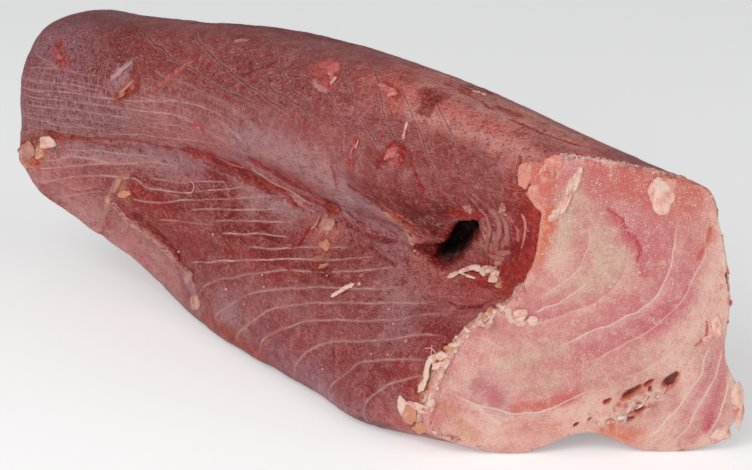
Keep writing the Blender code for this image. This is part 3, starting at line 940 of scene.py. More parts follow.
# painted light on the folds round the hollow: a painted highlight on their crests, painted shade in their
# troughs
tint = lay_over(
    tint,
    ("bloom", 0.40 * folded * eased(0.1, 0.7, fold_wave)),
    ("deep_red", 0.50 * folded * eased(0.1, 0.7, -fold_wave)),
)
relief += 0.75 * folded * fold_wave
print("mean colour of the skin", (tint.mean((0, 1)) * 255).round())

# %% The layer of torn marks
torn = np.zeros(skin.shape)
torn_strength = np.zeros(skin.shape[:2])
for tears, place in ((TORN_MARKS, on_skin), (TOP_TEARS, on_top)):
    for name, half_width, height, *route in tears:
        amount = brush(place(traced(route)), half_width, 0.8, 0.8)
        torn, torn_strength = lay_torn(torn, torn_strength, name, amount)
        relief += amount * height
relief = relief * (1 - 0.85 * by_the_saw)
print("torn marks cover", round(100 * float(np.mean(torn_strength > 0.5)), 1), "% of the skin's points")

# %% Colours of the hollow and the back, and painted shade in the hollow and underneath
hidden = eased(9.6, 10.6, u) * (1 - eased(17.2, 17.7, u))
# painted shade: dark purple where the skin faces down low by the floor, less at the foot by the saw
under = eased(0.2, 0.7, -normal[..., 2]) * (1 - eased(14, 30, z)) * (1 - 0.8 * eased(80, 100, x) * (y < -40))
back_swirl = layered(skin, 24, 91, 4)
tint = lay_over(
    tint,
    ("brown_red", 0.35 * hidden),
    ("silver", 0.60 * hidden * eased(-0.1, 0.7, back_swirl)),
    ("salmon", 0.45 * hidden * eased(0.1, 0.9, -back_swirl)),
    ("dark_red", 0.55 * hidden * eased(0.3, 0.9, layered(skin, 17, 97, 4))),
    ("fold", 0.70 * hidden * eased(130, 165, x)),
)
to_saw = (sawn_x(y) - x) / IN_PLANE
behind_saw = to_saw + 2.6 * layered(skin, 6, 131, 4)
belly_edge = (y < -15) * (1 - eased(90, 99, z)) * (u < 8)
tint = lay_over(
    tint,
    ("rust", 0.60 * (1 - eased(8, 12, behind_saw)) * belly_edge * (1 - eased(52, 60, z))),
    ("amber", 0.85 * (1 - eased(5.5, 7.5, behind_saw)) * belly_edge * (1 - eased(50, 60, z))),
    ("cream", 0.95 * (1 - eased(3.8, 4.8, behind_saw)) * belly_edge),
    ("cut_salmon", 0.60 * (1 - eased(3.0, 7.0, behind_saw)) * (1 - belly_edge) * eased(120, 135, z)),
    # painted shade on the underside
    ("underside", 0.75 * under),
    ("plum", 0.5 * on_cap),
    # the hollow: dark red at its lip and blood red inside, then deep red that is partly painted shade, and
    # black at the deep end, which is painted shade
    ("dark_red", 0.85 * eased(-2.6, 0.2, inside)),
    ("blood", 0.8 * eased(0.0, 1.0, inside)),
    ("deep_red", 0.75 * eased(0.3, 1.4, inside)),
    ("hole_shade", eased(0.6, 2.4, inside) * deep_end),
)
torn_strength = torn_strength * (1 - eased(-0.6, 0.6, inside)) * (1 - under)
in_pit = eased(-1.0, 0.5, inside)
seam_pale = seam_pale * (1 - in_pit) * (1 - 0.8 * folded)
seam_dark = seam_dark * (1 - in_pit) * (1 - 0.8 * folded)

# %% Move the skin
straight_in = np.array((-0.62, 0.77, -0.12))
relief = relief - 0.9 * eased(0.5, 1.0, by_the_saw)
shaped = skin + normal * relief[..., None] + straight_in * hollow_depth[..., None]
shaped[..., 2] = np.maximum(shaped[..., 2], LOWEST)
shaped_normal = outward(shaped) * np.sign((outward(shaped) * normal).sum(-1, keepdims=True))
print("the relief goes from", round(float(relief.min()), 1), "to", round(float(relief.max()), 1), "mm")

# %% [markdown]
# ## From a grid to a closed mesh
# A grid that is closed round and ends in one point at each end is a closed skin. Its faces
# are the cells of the grid and a fan at each pole. The values worked out above go along as
# attributes, which the material reads at each place.

# %% Meshes from grids
def closed_faces(rows, columns):
    """Cells between neighbouring rows and columns, and a fan round each of two poles, which
    are the last two points."""
    i, j = np.meshgrid(np.arange(rows - 1), np.arange(columns), indexing="ij")
    k = (j + 1) % columns
    cells = np.stack((i * columns + j, i * columns + k, (i + 1) * columns + k, (i + 1) * columns + j), -1)
    j = np.arange(columns)
    k = (j + 1) % columns
    first = rows * columns
    last = (rows - 1) * columns
    fans = np.concatenate((np.stack((k, j, np.full(columns, first)), -1),
                           np.stack((last + j, last + k, np.full(columns, first + 1)), -1)))
    return cells.reshape(-1, 4), fans


def with_poles(values, start, end):
    """A grid's values as a list, with those of the two poles after it."""
    flat = values.reshape(-1, *values.shape[2:])
    return np.concatenate((flat, np.asarray([start, end], float)))


def add_piece(name, points, polygons, attributes, material, smooth=True):
    """A mesh object at the origin, from points in mm, with colours and vectors on its
    points. It rides on the loin's root body."""
    mesh = bpy.data.meshes.new(name)
    mesh.from_pydata((points * MM).tolist(), [], [list(face) for group in polygons for face in group])
    for key, values in attributes.items():
        kind, field = ("FLOAT_COLOR", "color") if values.shape[-1] == 4 else ("FLOAT_VECTOR", "vector")
        layer = mesh.attributes.new(key, kind, "POINT")
        layer.data.foreach_set(field, values.astype(np.float32).ravel())
    mesh.update()
    mesh.polygons.foreach_set("use_smooth", [smooth] * len(mesh.polygons))
    mesh.materials.append(material)
    piece = bpy.data.objects.new(name, mesh)
    bpy.context.scene.collection.objects.link(piece)
    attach(piece, "root")
    return piece


def signed_volume(points, polygons):
    """Volume from triangles fanned out of each face: below 0 if the faces look inwards."""
    total = 0.0
    for group in polygons:
        corner = points[group[:, 0]]
        for k in range(1, group.shape[1] - 1):
            total += (corner * np.cross(points[group[:, k]], points[group[:, k + 1]])).sum() / 6
    return total


def facing_out(points, polygons):
    """The same faces, all turned round if they look inwards."""
    if signed_volume(points, polygons) < 0:
        return [group[:, ::-1] for group in polygons]
    return polygons


def paint(display):
    """Display colours as the four values of a colour attribute, in linear light."""
    return np.concatenate((linear(np.clip(display, 0, 1)), np.ones((*display.shape[:-1], 1))), -1)

# %% [markdown]
# ## Finishes from nodes
# Each finish is a Principled shader fed by nodes. The painted colour comes from the mesh.
# What is finer than the mesh, such as fibres, frost and the thin white seams, is worked out
# by the nodes at every place. Node code soon grows unreadable, so a node's output is wrapped
# as an amount that takes plain sums.

# %% Node helpers
def new_finish(name, **sockets):
    """A material with its shader's plain values set, its node tree and the shader."""
    material = bpy.data.materials.new(name)
    material.use_nodes = True
    shader = material.node_tree.nodes["Principled BSDF"]
    for key, value in sockets.items():
        shader.inputs[key.replace("_", " ")].default_value = value
    return material, material.node_tree, shader


def add_node(tree, kind, sockets=None, **settings):
    """A node with its settings made, and each named input set to a value or joined to
    another node's output."""
    node = tree.nodes.new(kind)
    for key, value in settings.items():
        setattr(node, key, value)
    for key, value in (sockets or {}).items():
        value = getattr(value, "socket", value)
        if isinstance(value, bpy.types.NodeSocket):
            tree.links.new(value, node.inputs[key])
        else:
            node.inputs[key].default_value = value
    return node


class Amount:
    """A node's output that can be added to, taken away, multiplied and eased. Each such
    step makes a node in the same tree, so that a finish reads like plain sums."""

    def __init__(self, tree, socket):
        self.tree = tree
        self.socket = socket

    def maths(self, operation, *values, **settings):
        """The output of a Math node."""
        settings["operation"] = operation
        node = add_node(self.tree, "ShaderNodeMath", dict(enumerate(values)), **settings)
        return Amount(self.tree, node.outputs[0])

    def __add__(self, other):
        return self.maths("ADD", self, other)

    def __sub__(self, other):
        return self.maths("SUBTRACT", self, other)

    def __rsub__(self, other):
        return self.maths("SUBTRACT", other, self)

    def __mul__(self, other):
        return self.maths("MULTIPLY", self, other)

    def __abs__(self):
        return self.maths("ABSOLUTE", self)

    __radd__ = __add__

    def pushed(self, times):
        """This times a number, kept between 0 and 1."""
        return self.maths("MULTIPLY", self, times, use_clamp=True)

    def ramp(self, low, high, out_low=0.0, out_high=1.0):
        """This eased from one range into another."""
        sockets = {"Value": self, "From Min": low, "From Max": high, "To Min": out_low, "To Max": out_high}
        node = add_node(self.tree, "ShaderNodeMapRange", sockets, interpolation_type="SMOOTHSTEP")
        return Amount(self.tree, node.outputs["Result"])


def mixed(amount, under, over):
    """Two colours mixed by an amount. Each is an output or a colour's name."""
    under, over = [(*linear(COLOURS[colour]), 1) if isinstance(colour, str) else colour
                   for colour in (under, over)]
    node = add_node(amount.tree, "ShaderNodeMix", {0: amount, 6: under, 7: over}, data_type="RGBA")
    return node.outputs[2]


def stretched_noise(tree, place, size, turn=(0, 0, 0), detail=2.0, rough=0.6):
    """Noise from -0.5 to 0.5, whose grains have a size in mm along each axis and are turned
    by degrees first."""
    angles = [math.radians(degrees) for degrees in turn]
    scale = [1 / (MM * side) for side in size]
    turned = add_node(tree, "ShaderNodeMapping", {"Vector": place, "Rotation": angles})
    sized = add_node(tree, "ShaderNodeMapping", {"Vector": turned.outputs[0], "Scale": scale})
    sockets = {"Vector": sized.outputs[0], "Scale": 1.0, "Detail": detail, "Roughness": rough}
    return Amount(tree, add_node(tree, "ShaderNodeTexNoise", sockets).outputs["Fac"]) - 0.5


def bent_place(tree, place, size, by):
    """A place moved about by noise of a size in mm, by up to half a distance in mm."""
    sway = add_node(tree, "ShaderNodeTexNoise", {"Vector": place, "Scale": 1 / (size * MM), "Detail": 1.0})
    sockets = {0: sway.outputs["Color"], 1: (by * MM, by * MM, by * MM), 2: place}
    return add_node(tree, "ShaderNodeVectorMath", sockets, operation="MULTIPLY_ADD").outputs[0]


def painted(tree, name):
    """A colour attribute of the mesh, and its fourth value as an amount."""
    node = add_node(tree, "ShaderNodeAttribute", attribute_name=name)
    return node.outputs["Color"], Amount(tree, node.outputs["Alpha"])


def three(tree, name):
    """The three numbers of a vector attribute of the mesh."""
    node = add_node(tree, "ShaderNodeAttribute", attribute_name=name)
    split = add_node(tree, "ShaderNodeSeparateXYZ", {0: node.outputs["Vector"]})
    return [Amount(tree, output) for output in split.outputs]


def torn_over(colour, edge, torn_amount, shaded, strength):
    """The torn layer laid over a colour, where its strength and the fibres together pass a
    half, and how much of it shows."""
    shows = edge.ramp(0.34, 0.66) * torn_amount.ramp(0.04, 0.2)
    return mixed(shows * strength, colour, shaded), shows


def join_up(tree, shader, colour, height, strength, depth):
    """Joins a colour to the shader, and bumps of a depth in mm."""
    tree.links.new(colour, shader.inputs["Base Color"])
    bump = add_node(tree, "ShaderNodeBump", {"Height": height, "Strength": strength, "Distance": depth * MM})
    tree.links.new(bump.outputs[0], shader.inputs["Normal"])

# %% [markdown]
# ## The finish of the trimmed sides
# The trimmed flesh is dull red with a greyish bloom, and its fibres run across the seams.
# Their direction changes from place to place: upright at the narrow end, slanting down on
# the lower side, rising by the crest and level near the saw. Four stretched noises give the
# four directions, and the mesh says how much of each shows. The torn marks show where their
# strength and the fibres together pass a half, which gives them ragged edges.

# %% Trimmed flesh
def trimmed_flesh():
    """Dull red flesh: the mesh's paint, fibres in four directions, a lattice of pale threads,
    the seams at their kept distance, and the torn layer with a ragged edge."""
    material, tree, shader = new_finish(
        "trimmed_flesh", Subsurface_Weight=0.08, Subsurface_Scale=0.002,
        Subsurface_Radius=(1.0, 0.35, 0.25), Specular_IOR_Level=0.28)
    place = add_node(tree, "ShaderNodeTexCoord").outputs["Object"]
    colour = painted(tree, "tint")[0]
    torn_colour, torn_amount = painted(tree, "torn")
    distance, pale_seam, dark_seam = three(tree, "seams")
    upright, slanting, rising = three(tree, "fibres")
    wet, lattice, level = three(tree, "surface")

    bent = bent_place(tree, place, 8, 3)
    strands = stretched_noise(tree, bent, (4.0, 1.4, 0.75), (0, -27, 0))
    grains = (
        (stretched_noise(tree, bent, (0.75, 0.75, 5.0)), upright),
        (strands, slanting),
        (stretched_noise(tree, bent, (4.5, 1.4, 0.75), (0, 35, 0)), rising),
        (stretched_noise(tree, bent, (6.0, 2.5, 0.75), (0, 8, 0)), level),
    )
    speckle = stretched_noise(tree, bent, (1.5, 1.0, 0.55), (0, -20, 0), detail=1.0)
    mottle = stretched_noise(tree, bent, (2.4, 2.4, 2.4))
    blotch = stretched_noise(tree, bent, (7.0, 7.0, 7.0), detail=4.0)

    fibres = speckle * 1.3
    dashes = 0.0
    for grain, amount in grains:
        fibres = fibres + grain * (amount * 1.8)
        dashes = dashes + grain.ramp(0.10, 0.18) * amount
    light = (fibres + mottle * 0.6 + blotch) * (1.1 - abs(wet))
    colour = mixed(light.pushed(1.4), colour, "pale_flesh")
    colour = mixed(light.pushed(-1.9), colour, "dark_red")
    colour = mixed(dashes * 0.35, colour, "dark_red")

    upended = add_node(tree, "ShaderNodeMapping", {"Vector": bent, "Rotation": (math.radians(90), 0, 0)})
    cells = {"Vector": upended.outputs[0], "Color1": (0, 0, 0, 1), "Color2": (0, 0, 0, 1),
             "Mortar": (1, 1, 1, 1), "Scale": 1.0, "Mortar Size": 0.38 * MM, "Mortar Smooth": 1.0,
             "Brick Width": 7 * MM, "Row Height": 5.6 * MM}
    bricks = add_node(tree, "ShaderNodeTexBrick", cells, offset=0.37, squash=1.3, squash_frequency=3)
    threads = Amount(tree, bricks.outputs["Fac"]) * (mottle + 0.5).pushed(1.3) * lattice
    colour = mixed(threads * 0.75, colour, "seam")

    near = abs(distance)
    line = (near + mottle * 0.7 + speckle * 0.5).ramp(0.22, 0.70, 1.0, 0.0)
    shoulder = near.ramp(0.3, 1.8, 1.0, 0.0)
    colour = mixed(line * pale_seam * 0.9, colour, "seam")
    # a painted highlight beside a dark seam, and then its dark line of painted shade
    colour = mixed(shoulder * dark_seam * 0.4, colour, "bloom")
    colour = mixed(line * dark_seam * 0.85, colour, "seam_shade")

    patchy = light + strands * 1.4
    shaded = mixed(patchy.pushed(1.2), torn_colour, "salmon")
    shaded = mixed(patchy.pushed(-1.8), shaded, "deep_red")
    edge = torn_amount + fibres * 0.7 + mottle + strands
    colour, torn_shows = torn_over(colour, edge, torn_amount, shaded, 0.82)

    rough = fibres * 0.5 + 0.52 - wet * 0.4
    tree.links.new(rough.socket, shader.inputs["Roughness"])
    height = fibres - dashes * 0.3 + line * (pale_seam * 0.3 - dark_seam * 0.35) - torn_shows * 0.35
    join_up(tree, shader, colour, height, 1.0, 1.1)
    return material


TRIMMED = trimmed_flesh()
print("trimmed flesh has", len(TRIMMED.node_tree.nodes), "nodes")

# %% The skin's piece
far_left = 1 - eased(-165, -110, x)
fibre_up = 0.20 + 0.75 * far_left * (u > 4) + 0.40 * (1 - eased(-60, 20, x)) * eased(4.2, 5, u)
fibre_up = fibre_up + 0.35 * eased(8.4, 9.2, u)
fibre_slant = 0.62 * (u < 4.6) + 0.75 * bell(x - 25, 60) * bell(z - 106, 20)
fibre_slant = fibre_slant + 0.9 * bell(x - 66, 26) * bell(z - 107, 11)
fibre_rise = 0.12 + 0.85 * bell(x + 35, 50) * bell(z - 160, 15) * (u > 5)
fibre_level = 0.10 + 0.50 * eased(-10, 60, x) * eased(5.5, 7, u)
fibres = np.stack((fibre_up, fibre_slant, fibre_rise), -1) * (1 - 0.7 * in_pit[..., None])
lattice = (1 - eased(-120, -50, x)) * eased(4.6, 5.0, u) * (1 - eased(6.4, 7.0, u)) * (1 - in_pit)
wetness = 0.15 + 0.65 * tail * (1 - hole) - 0.9 * hole
wetness = wetness + 0.35 * bell(x - 136, 14) * bell(z - 98, 9) + 0.3 * under
surface = np.stack((np.clip(wetness, -0.9, 1), lattice, fibre_level), -1)
seams = np.stack((seam_distance, seam_pale, seam_dark), -1)
torn_paint = np.concatenate((linear(np.clip(torn, 0, 1)), torn_strength[..., None]), -1)

polygons = closed_faces(*skin.shape[:2])
far_pole = shaped[0].mean(0)
sawn_pole = shaped[-1].mean(0) - (0.8, -0.7, 0)
points = with_poles(shaped, far_pole, sawn_pole)
polygons = facing_out(points, polygons)
skin_tint = with_poles(paint(tint), paint(tint[0]).mean(0), paint(tint[-1]).mean(0))
body = add_piece("trimmed_sides", points, polygons, {
    "tint": skin_tint,
    "torn": with_poles(torn_paint, (0, 0, 0, 0), (0, 0, 0, 0)),
    "seams": with_poles(seams, (9, 0, 0), (9, 0, 0)),
    "fibres": with_poles(fibres, (0, 0, 0), (0, 0, 0)),
    "surface": with_poles(surface, (0.3, 0, 0), (0.3, 0, 0)),
}, TRIMMED)
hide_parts("loin")
litres = signed_volume(points, polygons) / 1e6
print("the skin is", len(points), "points, and holds", round(litres, 2), "litres")

# %% [markdown]
# ## The sawn face
# The saw left the thick end flat, pale and frosty, and it shows the muscle blocks end on as
# a set of arcs. It is a separate closed slab, a few mm thick, so that it can have its own
# fine mesh. Rings run from its middle to the edge of the block, roll over the edge as a lip
# that the saw has dragged, and end inside the block.

# %% Shape of the sawn face
FACE_COLUMNS = 640
FACE_ROWS = 104
INNERMOST_RING = 0.012
RING_CROWDING = 0.86
FACE_OUT = np.array((1, -SAWN_SLANT, 0)) / IN_PLANE
FACE_MIDDLE = np.array((4, 80))


def face_point(y_across, height):
    """The point of the sawn plane at a distance across and a height, in mm."""
    return np.stack((sawn_x(y_across), y_across, height), -1)


def rim_columns(count):
    """Places round the last section at even steps of its length."""
    fine = np.linspace(0, LINE_COUNT, 3601)
    ring = loft(np.array((1.0,)), fine % LINE_COUNT)[0]
    steps = np.linalg.norm(np.diff(ring, axis=0), axis=1)
    length = np.concatenate(((0,), np.cumsum(steps)))
    return np.interp(np.linspace(0, length[-1], count, endpoint=False), length, fine), length[-1]


rim_u, rim_length = rim_columns(FACE_COLUMNS)
behind_rim, rim = loft(np.array((0.99, 1.0)), rim_u) + SHIFT
backwards = behind_rim - rim
backwards /= np.linalg.norm(backwards, axis=-1, keepdims=True)
around = (np.roll(rim, -1, 0) - np.roll(rim, 1, 0)) / 2
rim_out = np.cross(around, backwards)
rim_out /= np.linalg.norm(rim_out, axis=-1, keepdims=True)
if (rim_out * (rim - rim.mean(0))).sum() < 0:
    rim_out = -rim_out
print("the sawn face's edge is", round(rim_length), "mm long")

# %% The grid of the sawn face
frayed_side = bell((rim[:, 1] + 50), 22) * (rim[:, 2] < 100)
edge_noise = layered(rim, 5, 101, 3)
lip_length = 1.6 + 1.3 * np.abs(edge_noise) + 1.6 * frayed_side * (1 + edge_noise)

spokes = np.linspace(INNERMOST_RING, 1, FACE_ROWS) ** RING_CROWDING
middle = face_point(*FACE_MIDDLE)
across = rim - middle
face = middle + across * spokes[:, None, None]
face_y, face_z = face[..., 1], face[..., 2]
in_plane = np.stack((face_y * IN_PLANE, 0 * face_y, face_z), -1)
edge_gap = np.linalg.norm(across, axis=-1) * (1 - spokes[:, None])
print("rings on the face stand", round(float(np.linalg.norm(face[50, 0] - face[51, 0])), 2), "mm apart")

# %% [markdown]
# ## The arcs of the sawn face
# The arcs are the same white sheets that make the seams on the sides, seen end on. Each is
# a curve given by points of the distance across and the height. The material draws them from a
# kept distance, as it draws the seams.

# %% Arcs
ARCS = (
    # white line, pale band beside it, then across and height of each point, from the upper end
    (0.45, 0.35, -4, 128, -4, 116, -6, 108, -10, 100, -15, 94, -22, 87),
    (0.7, 0.3, -4, 96, -7, 91, -14, 85, -24, 79),
    (0.15, 0.6, 10, 114, 10, 103, 7, 96, 4, 90, -2, 85, -14, 78, -30, 72),
    (0.8, 0.55, 28, 130, 27, 116, 27, 107, 26, 100, 23, 92, 18, 83, 8, 75, -4, 68, -16, 60),
    (0.55, 0.45, 39, 121, 39, 109, 36, 100, 34, 92, 30, 82, 20, 70, 9, 61, -6, 50),
    (0.35, 0.4, 43, 98, 41, 86, 36, 72, 29, 59, 20, 49, 8, 42),
    (0.85, 0.45, -1, 37, -13, 29, -22, 24, -31, 24, -39, 27, -48, 31, -56, 37),
    (0.9, 0.35, 43, 62, 40, 49, 38, 41, 32, 28, 27, 17, 19, 7),
    (0.9, 0.35, 47, 60, 44, 41, 41, 31, 36, 17, 30, 4),
    (0.9, 0.3, 50, 42, 49, 28, 47, 18, 43, 9),
    (0.45, 0.2, -35, 59, -40, 63, -46, 67),
)


def flat_run(points):
    """A smooth run through distances across and heights, measured in the sawn plane."""
    run = smooth_run(np.reshape(points, (-1, 2)) * (IN_PLANE, 1))
    return np.stack((run[:, 0], 0 * run[:, 0], run[:, 1]), -1)


flat_normal = np.broadcast_to(np.array((0.0, -1.0, 0.0)), in_plane.shape)
wobble = in_plane + np.stack((1.1 * noise(in_plane, 9, 121), 0 * face_y, 0.9 * noise(in_plane, 7, 122)), -1)
arc_distance = np.full(face_y.shape, FAR_OFF)
arc_strength = np.zeros(face_y.shape)
pale_band = np.zeros(face_y.shape)
rose_band = np.zeros(face_y.shape)
for white, band, *points in ARCS:
    near, signed, place = reach(wobble, flat_normal, flat_run(points), 12)
    ends = eased(0, 0.12, place) * (1 - eased(0.88, 1, place)) * (near < 12)
    closer = near < np.abs(arc_distance)
    arc_distance[closer] = signed[closer]
    arc_strength[closer] = (white * ends)[closer]
    pale_band += band * ends * (signed > 0) * np.exp(-near / 3.0)
    rose_band += band * ends * (signed < 0) * np.exp(-near / 2.5)
print(len(ARCS), "arcs")

# %% Stains and lumps of the sawn face
FACE_FIELDS = (
    # colour, half width, strength, then across and height of each point of its route
    ("cut_green", 7, 0.85, -7, 145, -12, 137, -14, 124, -14, 112),
    ("cut_green", 7, 0.75, 2, 120, 5, 106, -2, 94),
    ("cut_green", 6, 0.75, -33, 53, -22, 54, -13, 58),
    ("cut_green", 5, 0.65, -31, 39, -24, 40, -16, 43),
    ("cut_green", 4, 0.5, -3, 41, -1, 47),
    ("cut_cream", 6, 0.5, -15, 108, -20, 98),
    ("cut_cream", 8, 0.85, 44, 134, 45, 119, 45, 102, 45, 86, 44, 72),
    ("cut_cream", 6, 0.55, 24, 50, 32, 60, 38, 74),
    ("cut_cream", 10, 0.9, -47, 16, -26, 13, -13, 18, 2, 24),
    ("cut_cream", 9, 0.5, -42, 58, -44, 46, -34, 34),
    ("cut_cream", 7, 0.85, 30, 50, 36, 40, 34, 24, 22, 10),
    ("cut_cream", 5, 0.6, 22, 60, 36, 74, 41, 92),
    ("cut_cream", 5, 0.5, -50, 62, -48, 50, -52, 40),
    ("cut_salmon", 9, 0.9, -2, 150, 6, 148, 14, 146, 30, 138),
    ("cut_salmon", 5, 0.65, -4, 164, 8, 160, 22, 152, 36, 145),
    ("cut_salmon", 6, 0.8, -24, 157, -19, 150, -22, 142),
    ("cut_salmon", 4, 0.45, -30, 96, -36, 88, -41, 80),
    ("cut_salmon", 4, 0.45, 41, 124, 40, 116, 37, 107),
    ("cut_salmon", 2.6, 0.85, -31, 27, -22, 28, -15, 30, -7, 34),
    ("cut_salmon", 5, 0.4, -30, 14, -16, 15),
    ("cut_rose", 6, 0.5, -2, 149, -1, 141, 3, 134),
    ("cut_rose", 8, 0.55, 14, 126, 22, 118, 23, 104),
    ("cut_rose", 3.5, 0.45, -8, 117, -6, 110),
    ("cut_rose", 3.5, 0.5, -24, 101, -20, 98),
    ("cut_rose", 5, 0.55, 12, 67, 23, 74, 30, 84, 33, 98),
    ("cut_rose", 5, 0.45, -18, 52, -3, 57, 12, 66),
    ("cut_rose", 3.5, 0.45, 48, 50, 46, 34, 42, 20),
    ("cut_rose", 3.5, 0.4, 42, 46, 38, 32, 32, 18),
    ("cut_rose", 5, 0.35, -46, 68, -46, 56),
    ("magenta", 4, 0.25, 20, 72, 29, 82),
    ("magenta", 3.5, 0.35, -3, 159, 0, 156),
    ("magenta", 2.2, 0.65, 3, 134, 10, 121, 15, 110, 17, 100),
    ("cut_rose", 6, 0.6, 5, 132, 12, 120, 18, 106),
    ("lilac", 6, 0.5, -43, 40, -39, 36, -36, 31),
    ("magenta", 4, 0.3, -43, 40, -39, 36, -37, 32),
    ("magenta", 2.5, 0.65, 43, 14, 44, 19),
    ("amber", 3, 0.5, -58, 29, -52, 20, -46, 11),
    ("orange", 4, 0.6, 4, 13, 11, 11, 17, 9),
    ("orange", 4, 0.9, -20, 133, -20, 123, -23, 113, -26, 104),
    ("cream", 4.5, 0.85, 52, 42, 55, 32, 55, 22, 51, 13, 44, 6),
    ("cream", 4, 0.6, 44, 4, 30, 3, 18, 5),
    ("white", 5, 0.55, -17, 160, -11, 164, -3, 164, 4, 161),
)
FACE_TEARS = (
    # colour, half width, height, then across and height of each point of its route
    ("cream", 1.7, 0.8, -8, 155, -11, 149, -13, 142, -15, 135, -18, 130),
    ("magenta", 1, -0.5, 2, 135, 8, 129, 9, 123, 13, 119, 15, 113, 14, 107),
    ("orange", 0.7, -0.7, 41, 123, 40, 116, 37, 107),
    ("orange", 0.6, -0.7, 41, 73, 41, 65, 37, 60),
    ("cream", 1.4, 0.3, -46, 28, -41, 23, -36, 19),
    ("cut_salmon", 1, -0.3, -6, 160, 2, 157, 10, 155),
    ("cream", 0.9, 0.3, -4, 165, 8, 161, 20, 154),
    ("cream", 0.9, 0.3, 44, 128, 46, 112, 47, 100),
    ("cream", 1.4, 0.4, -34, 80, -32, 75, -28, 74),
)
# the band of bunched tissue: half width, and its route of (across, height)
TISSUE = (5.0, ((4, 19), (10, 24), (15, 26), (19, 30), (23, 34)))
FLAKE_GAPS = (
    # across, height, half length, half width, turn, depth
    (28.5, 41.5, 5.6, 2.4, 52, 3.4),
    (13.5, 35, 6.6, 1.7, 36, 3.4),
    (20, 40.3, 3.2, 1, 40, 2.4),
    (4.5, 30, 2.6, 1, 35, 2.2),
    (13, 20, 3, 1, 5, 2.2),
    (16.8, 24.7, 3, 0.9, 15, 2),
    (20.5, 37, 1.6, 0.8, 70, 1.8),
    (-7, 17, 1.7, 0.7, 45, 1.8),
    (-2, 20, 1.2, 0.5, 30, 2),
)
print(len(FACE_FIELDS) + len(FACE_TEARS), "marks and", len(FLAKE_GAPS), "gaps on the sawn face")

# %% Relief and colour of the sawn face
face_tint = np.broadcast_to(COLOURS["cut_pink"], face.shape).copy()
face_swirl = layered(in_plane, 20, 131, 4)
face_tint = lay_over(
    face_tint,
    ("cut_green", 0.55 * eased(-0.1, 0.9, face_swirl)),
    ("cut_rose", 0.40 * eased(0.0, 0.9, -face_swirl)),
    ("cut_cream", np.minimum(pale_band, 0.7)),
    ("cut_rose", np.minimum(rose_band, 0.6)),
)
face_relief = SAWN_FACE_CROWN * (1 - spokes[:, None] ** 2) + 0.7
face_relief = face_relief + 0.35 * noise(in_plane, 16, 141) + 0.14 * noise(in_plane, 4, 142)
face_relief = face_relief + 0.09 * noise(in_plane, 1.6, 143) + 0.06 * noise(in_plane, 0.9, 144)
face_relief += 0.22 * arc_strength * bell(arc_distance, 0.8)
face_relief += 0.16 * arc_strength * np.clip(arc_distance / 2, -1, 1) * (np.abs(arc_distance) < 10)

face_ragged = layered(in_plane, 8, 151, 4)
face_frayed = layered(in_plane, 2.2, 161, 2)


def face_brush(route, half_width, softness, fray=0.4):
    """How strongly a brush drawn on the sawn face marks each of its points."""
    near = reach(in_plane, flat_normal, flat_run(route), brush_reach(half_width))[0]
    near = near + half_width * fray * face_ragged + min(0.6, 0.4 * half_width) * face_frayed
    return 1 - eased(half_width * (1 - softness), half_width * (1 + softness), near)


for name, half_width, strength, *route in FACE_FIELDS:
    face_tint = lay_over(face_tint, (name, strength * face_brush(route, half_width, 0.9)))
face_torn = np.zeros(face.shape)
face_torn_strength = np.zeros(face_y.shape)
for name, half_width, height, *route in FACE_TEARS:
    amount = face_brush(route, half_width, 0.7)
    face_torn, face_torn_strength = lay_torn(face_torn, face_torn_strength, name, amount)
    face_relief += amount * height
tissue = face_brush(TISSUE[1], TISSUE[0], 0.5)
wrinkles = 1 - 2.2 * np.abs(noise(in_plane, 4.5, 181) + 0.4 * noise(in_plane, 2, 182))
face_relief += 1.1 * tissue * wrinkles
# cream on the crests of the wrinkles, and orange in their troughs as painted shade
face_tint = lay_over(
    face_tint,
    ("cream", 0.65 * tissue * eased(-0.3, 0.8, wrinkles)),
    ("orange", 0.80 * tissue * eased(-0.2, 0.8, -wrinkles)),
)

opened_all = np.zeros(face_y.shape)
for gap_y, gap_z, half_length, half_width, turn, depth in FLAKE_GAPS:
    angle = math.radians(turn)
    a = (face_y - gap_y) * IN_PLANE
    b = face_z - gap_z
    along_gap = a * math.cos(angle) + b * math.sin(angle)
    over_gap = b * math.cos(angle) - a * math.sin(angle)
    narrowing = half_width * (1.15 - 0.35 * along_gap / half_length)
    oval = np.hypot(along_gap / half_length, over_gap / narrowing) + 0.12 * face_frayed
    opened = 1 - eased(0.70, 1.10, oval)
    face_relief -= depth * opened
    face_tint = lay_over(
        face_tint,
        ("orange", 0.80 * (1 - eased(0.9, 1.4, oval))),
        ("orange", 0.95 * opened),
        ("blood", 0.90 * (1 - eased(0.5, 0.95, oval))),
    )
    # painted shade: a deep red core on one side of each wide gap
    gap_shade = (1 - eased(0.3, 0.7, oval)) * eased(-0.6, 0.3, over_gap) * (half_width > 1.5)
    face_tint = lay_over(face_tint, ("deep_red", 0.90 * gap_shade))
    opened_all = np.maximum(opened_all, opened)

rounded = np.clip(1 - edge_gap / 1.5, 0, 1)
face_relief -= 0.5 * (1 - np.sqrt(1 - rounded ** 2 * 0.98))
rim_soft = 1 - eased(0, 3, edge_gap)
face_tint = lay_over(face_tint, ("cut_cream", 0.35 * rim_soft))
print("mean colour of the face", (face_tint.mean((0, 1)) * 255).round())

# %% The lip and the piece
in_the_ring = bell(rim[:, 2] - 115, 26) * (rim[:, 1] < 0)
lip_length = lip_length * (1 - 0.7 * in_the_ring)
lip_height = 0.35 + 0.30 * layered(rim, 4, 111, 2) + 0.6 * frayed_side
lip_height = np.maximum(lip_height, 0.15) * (1 - 0.5 * in_the_ring)
face_shaped = face + FACE_OUT * face_relief[..., None]
last = face_shaped[-1]
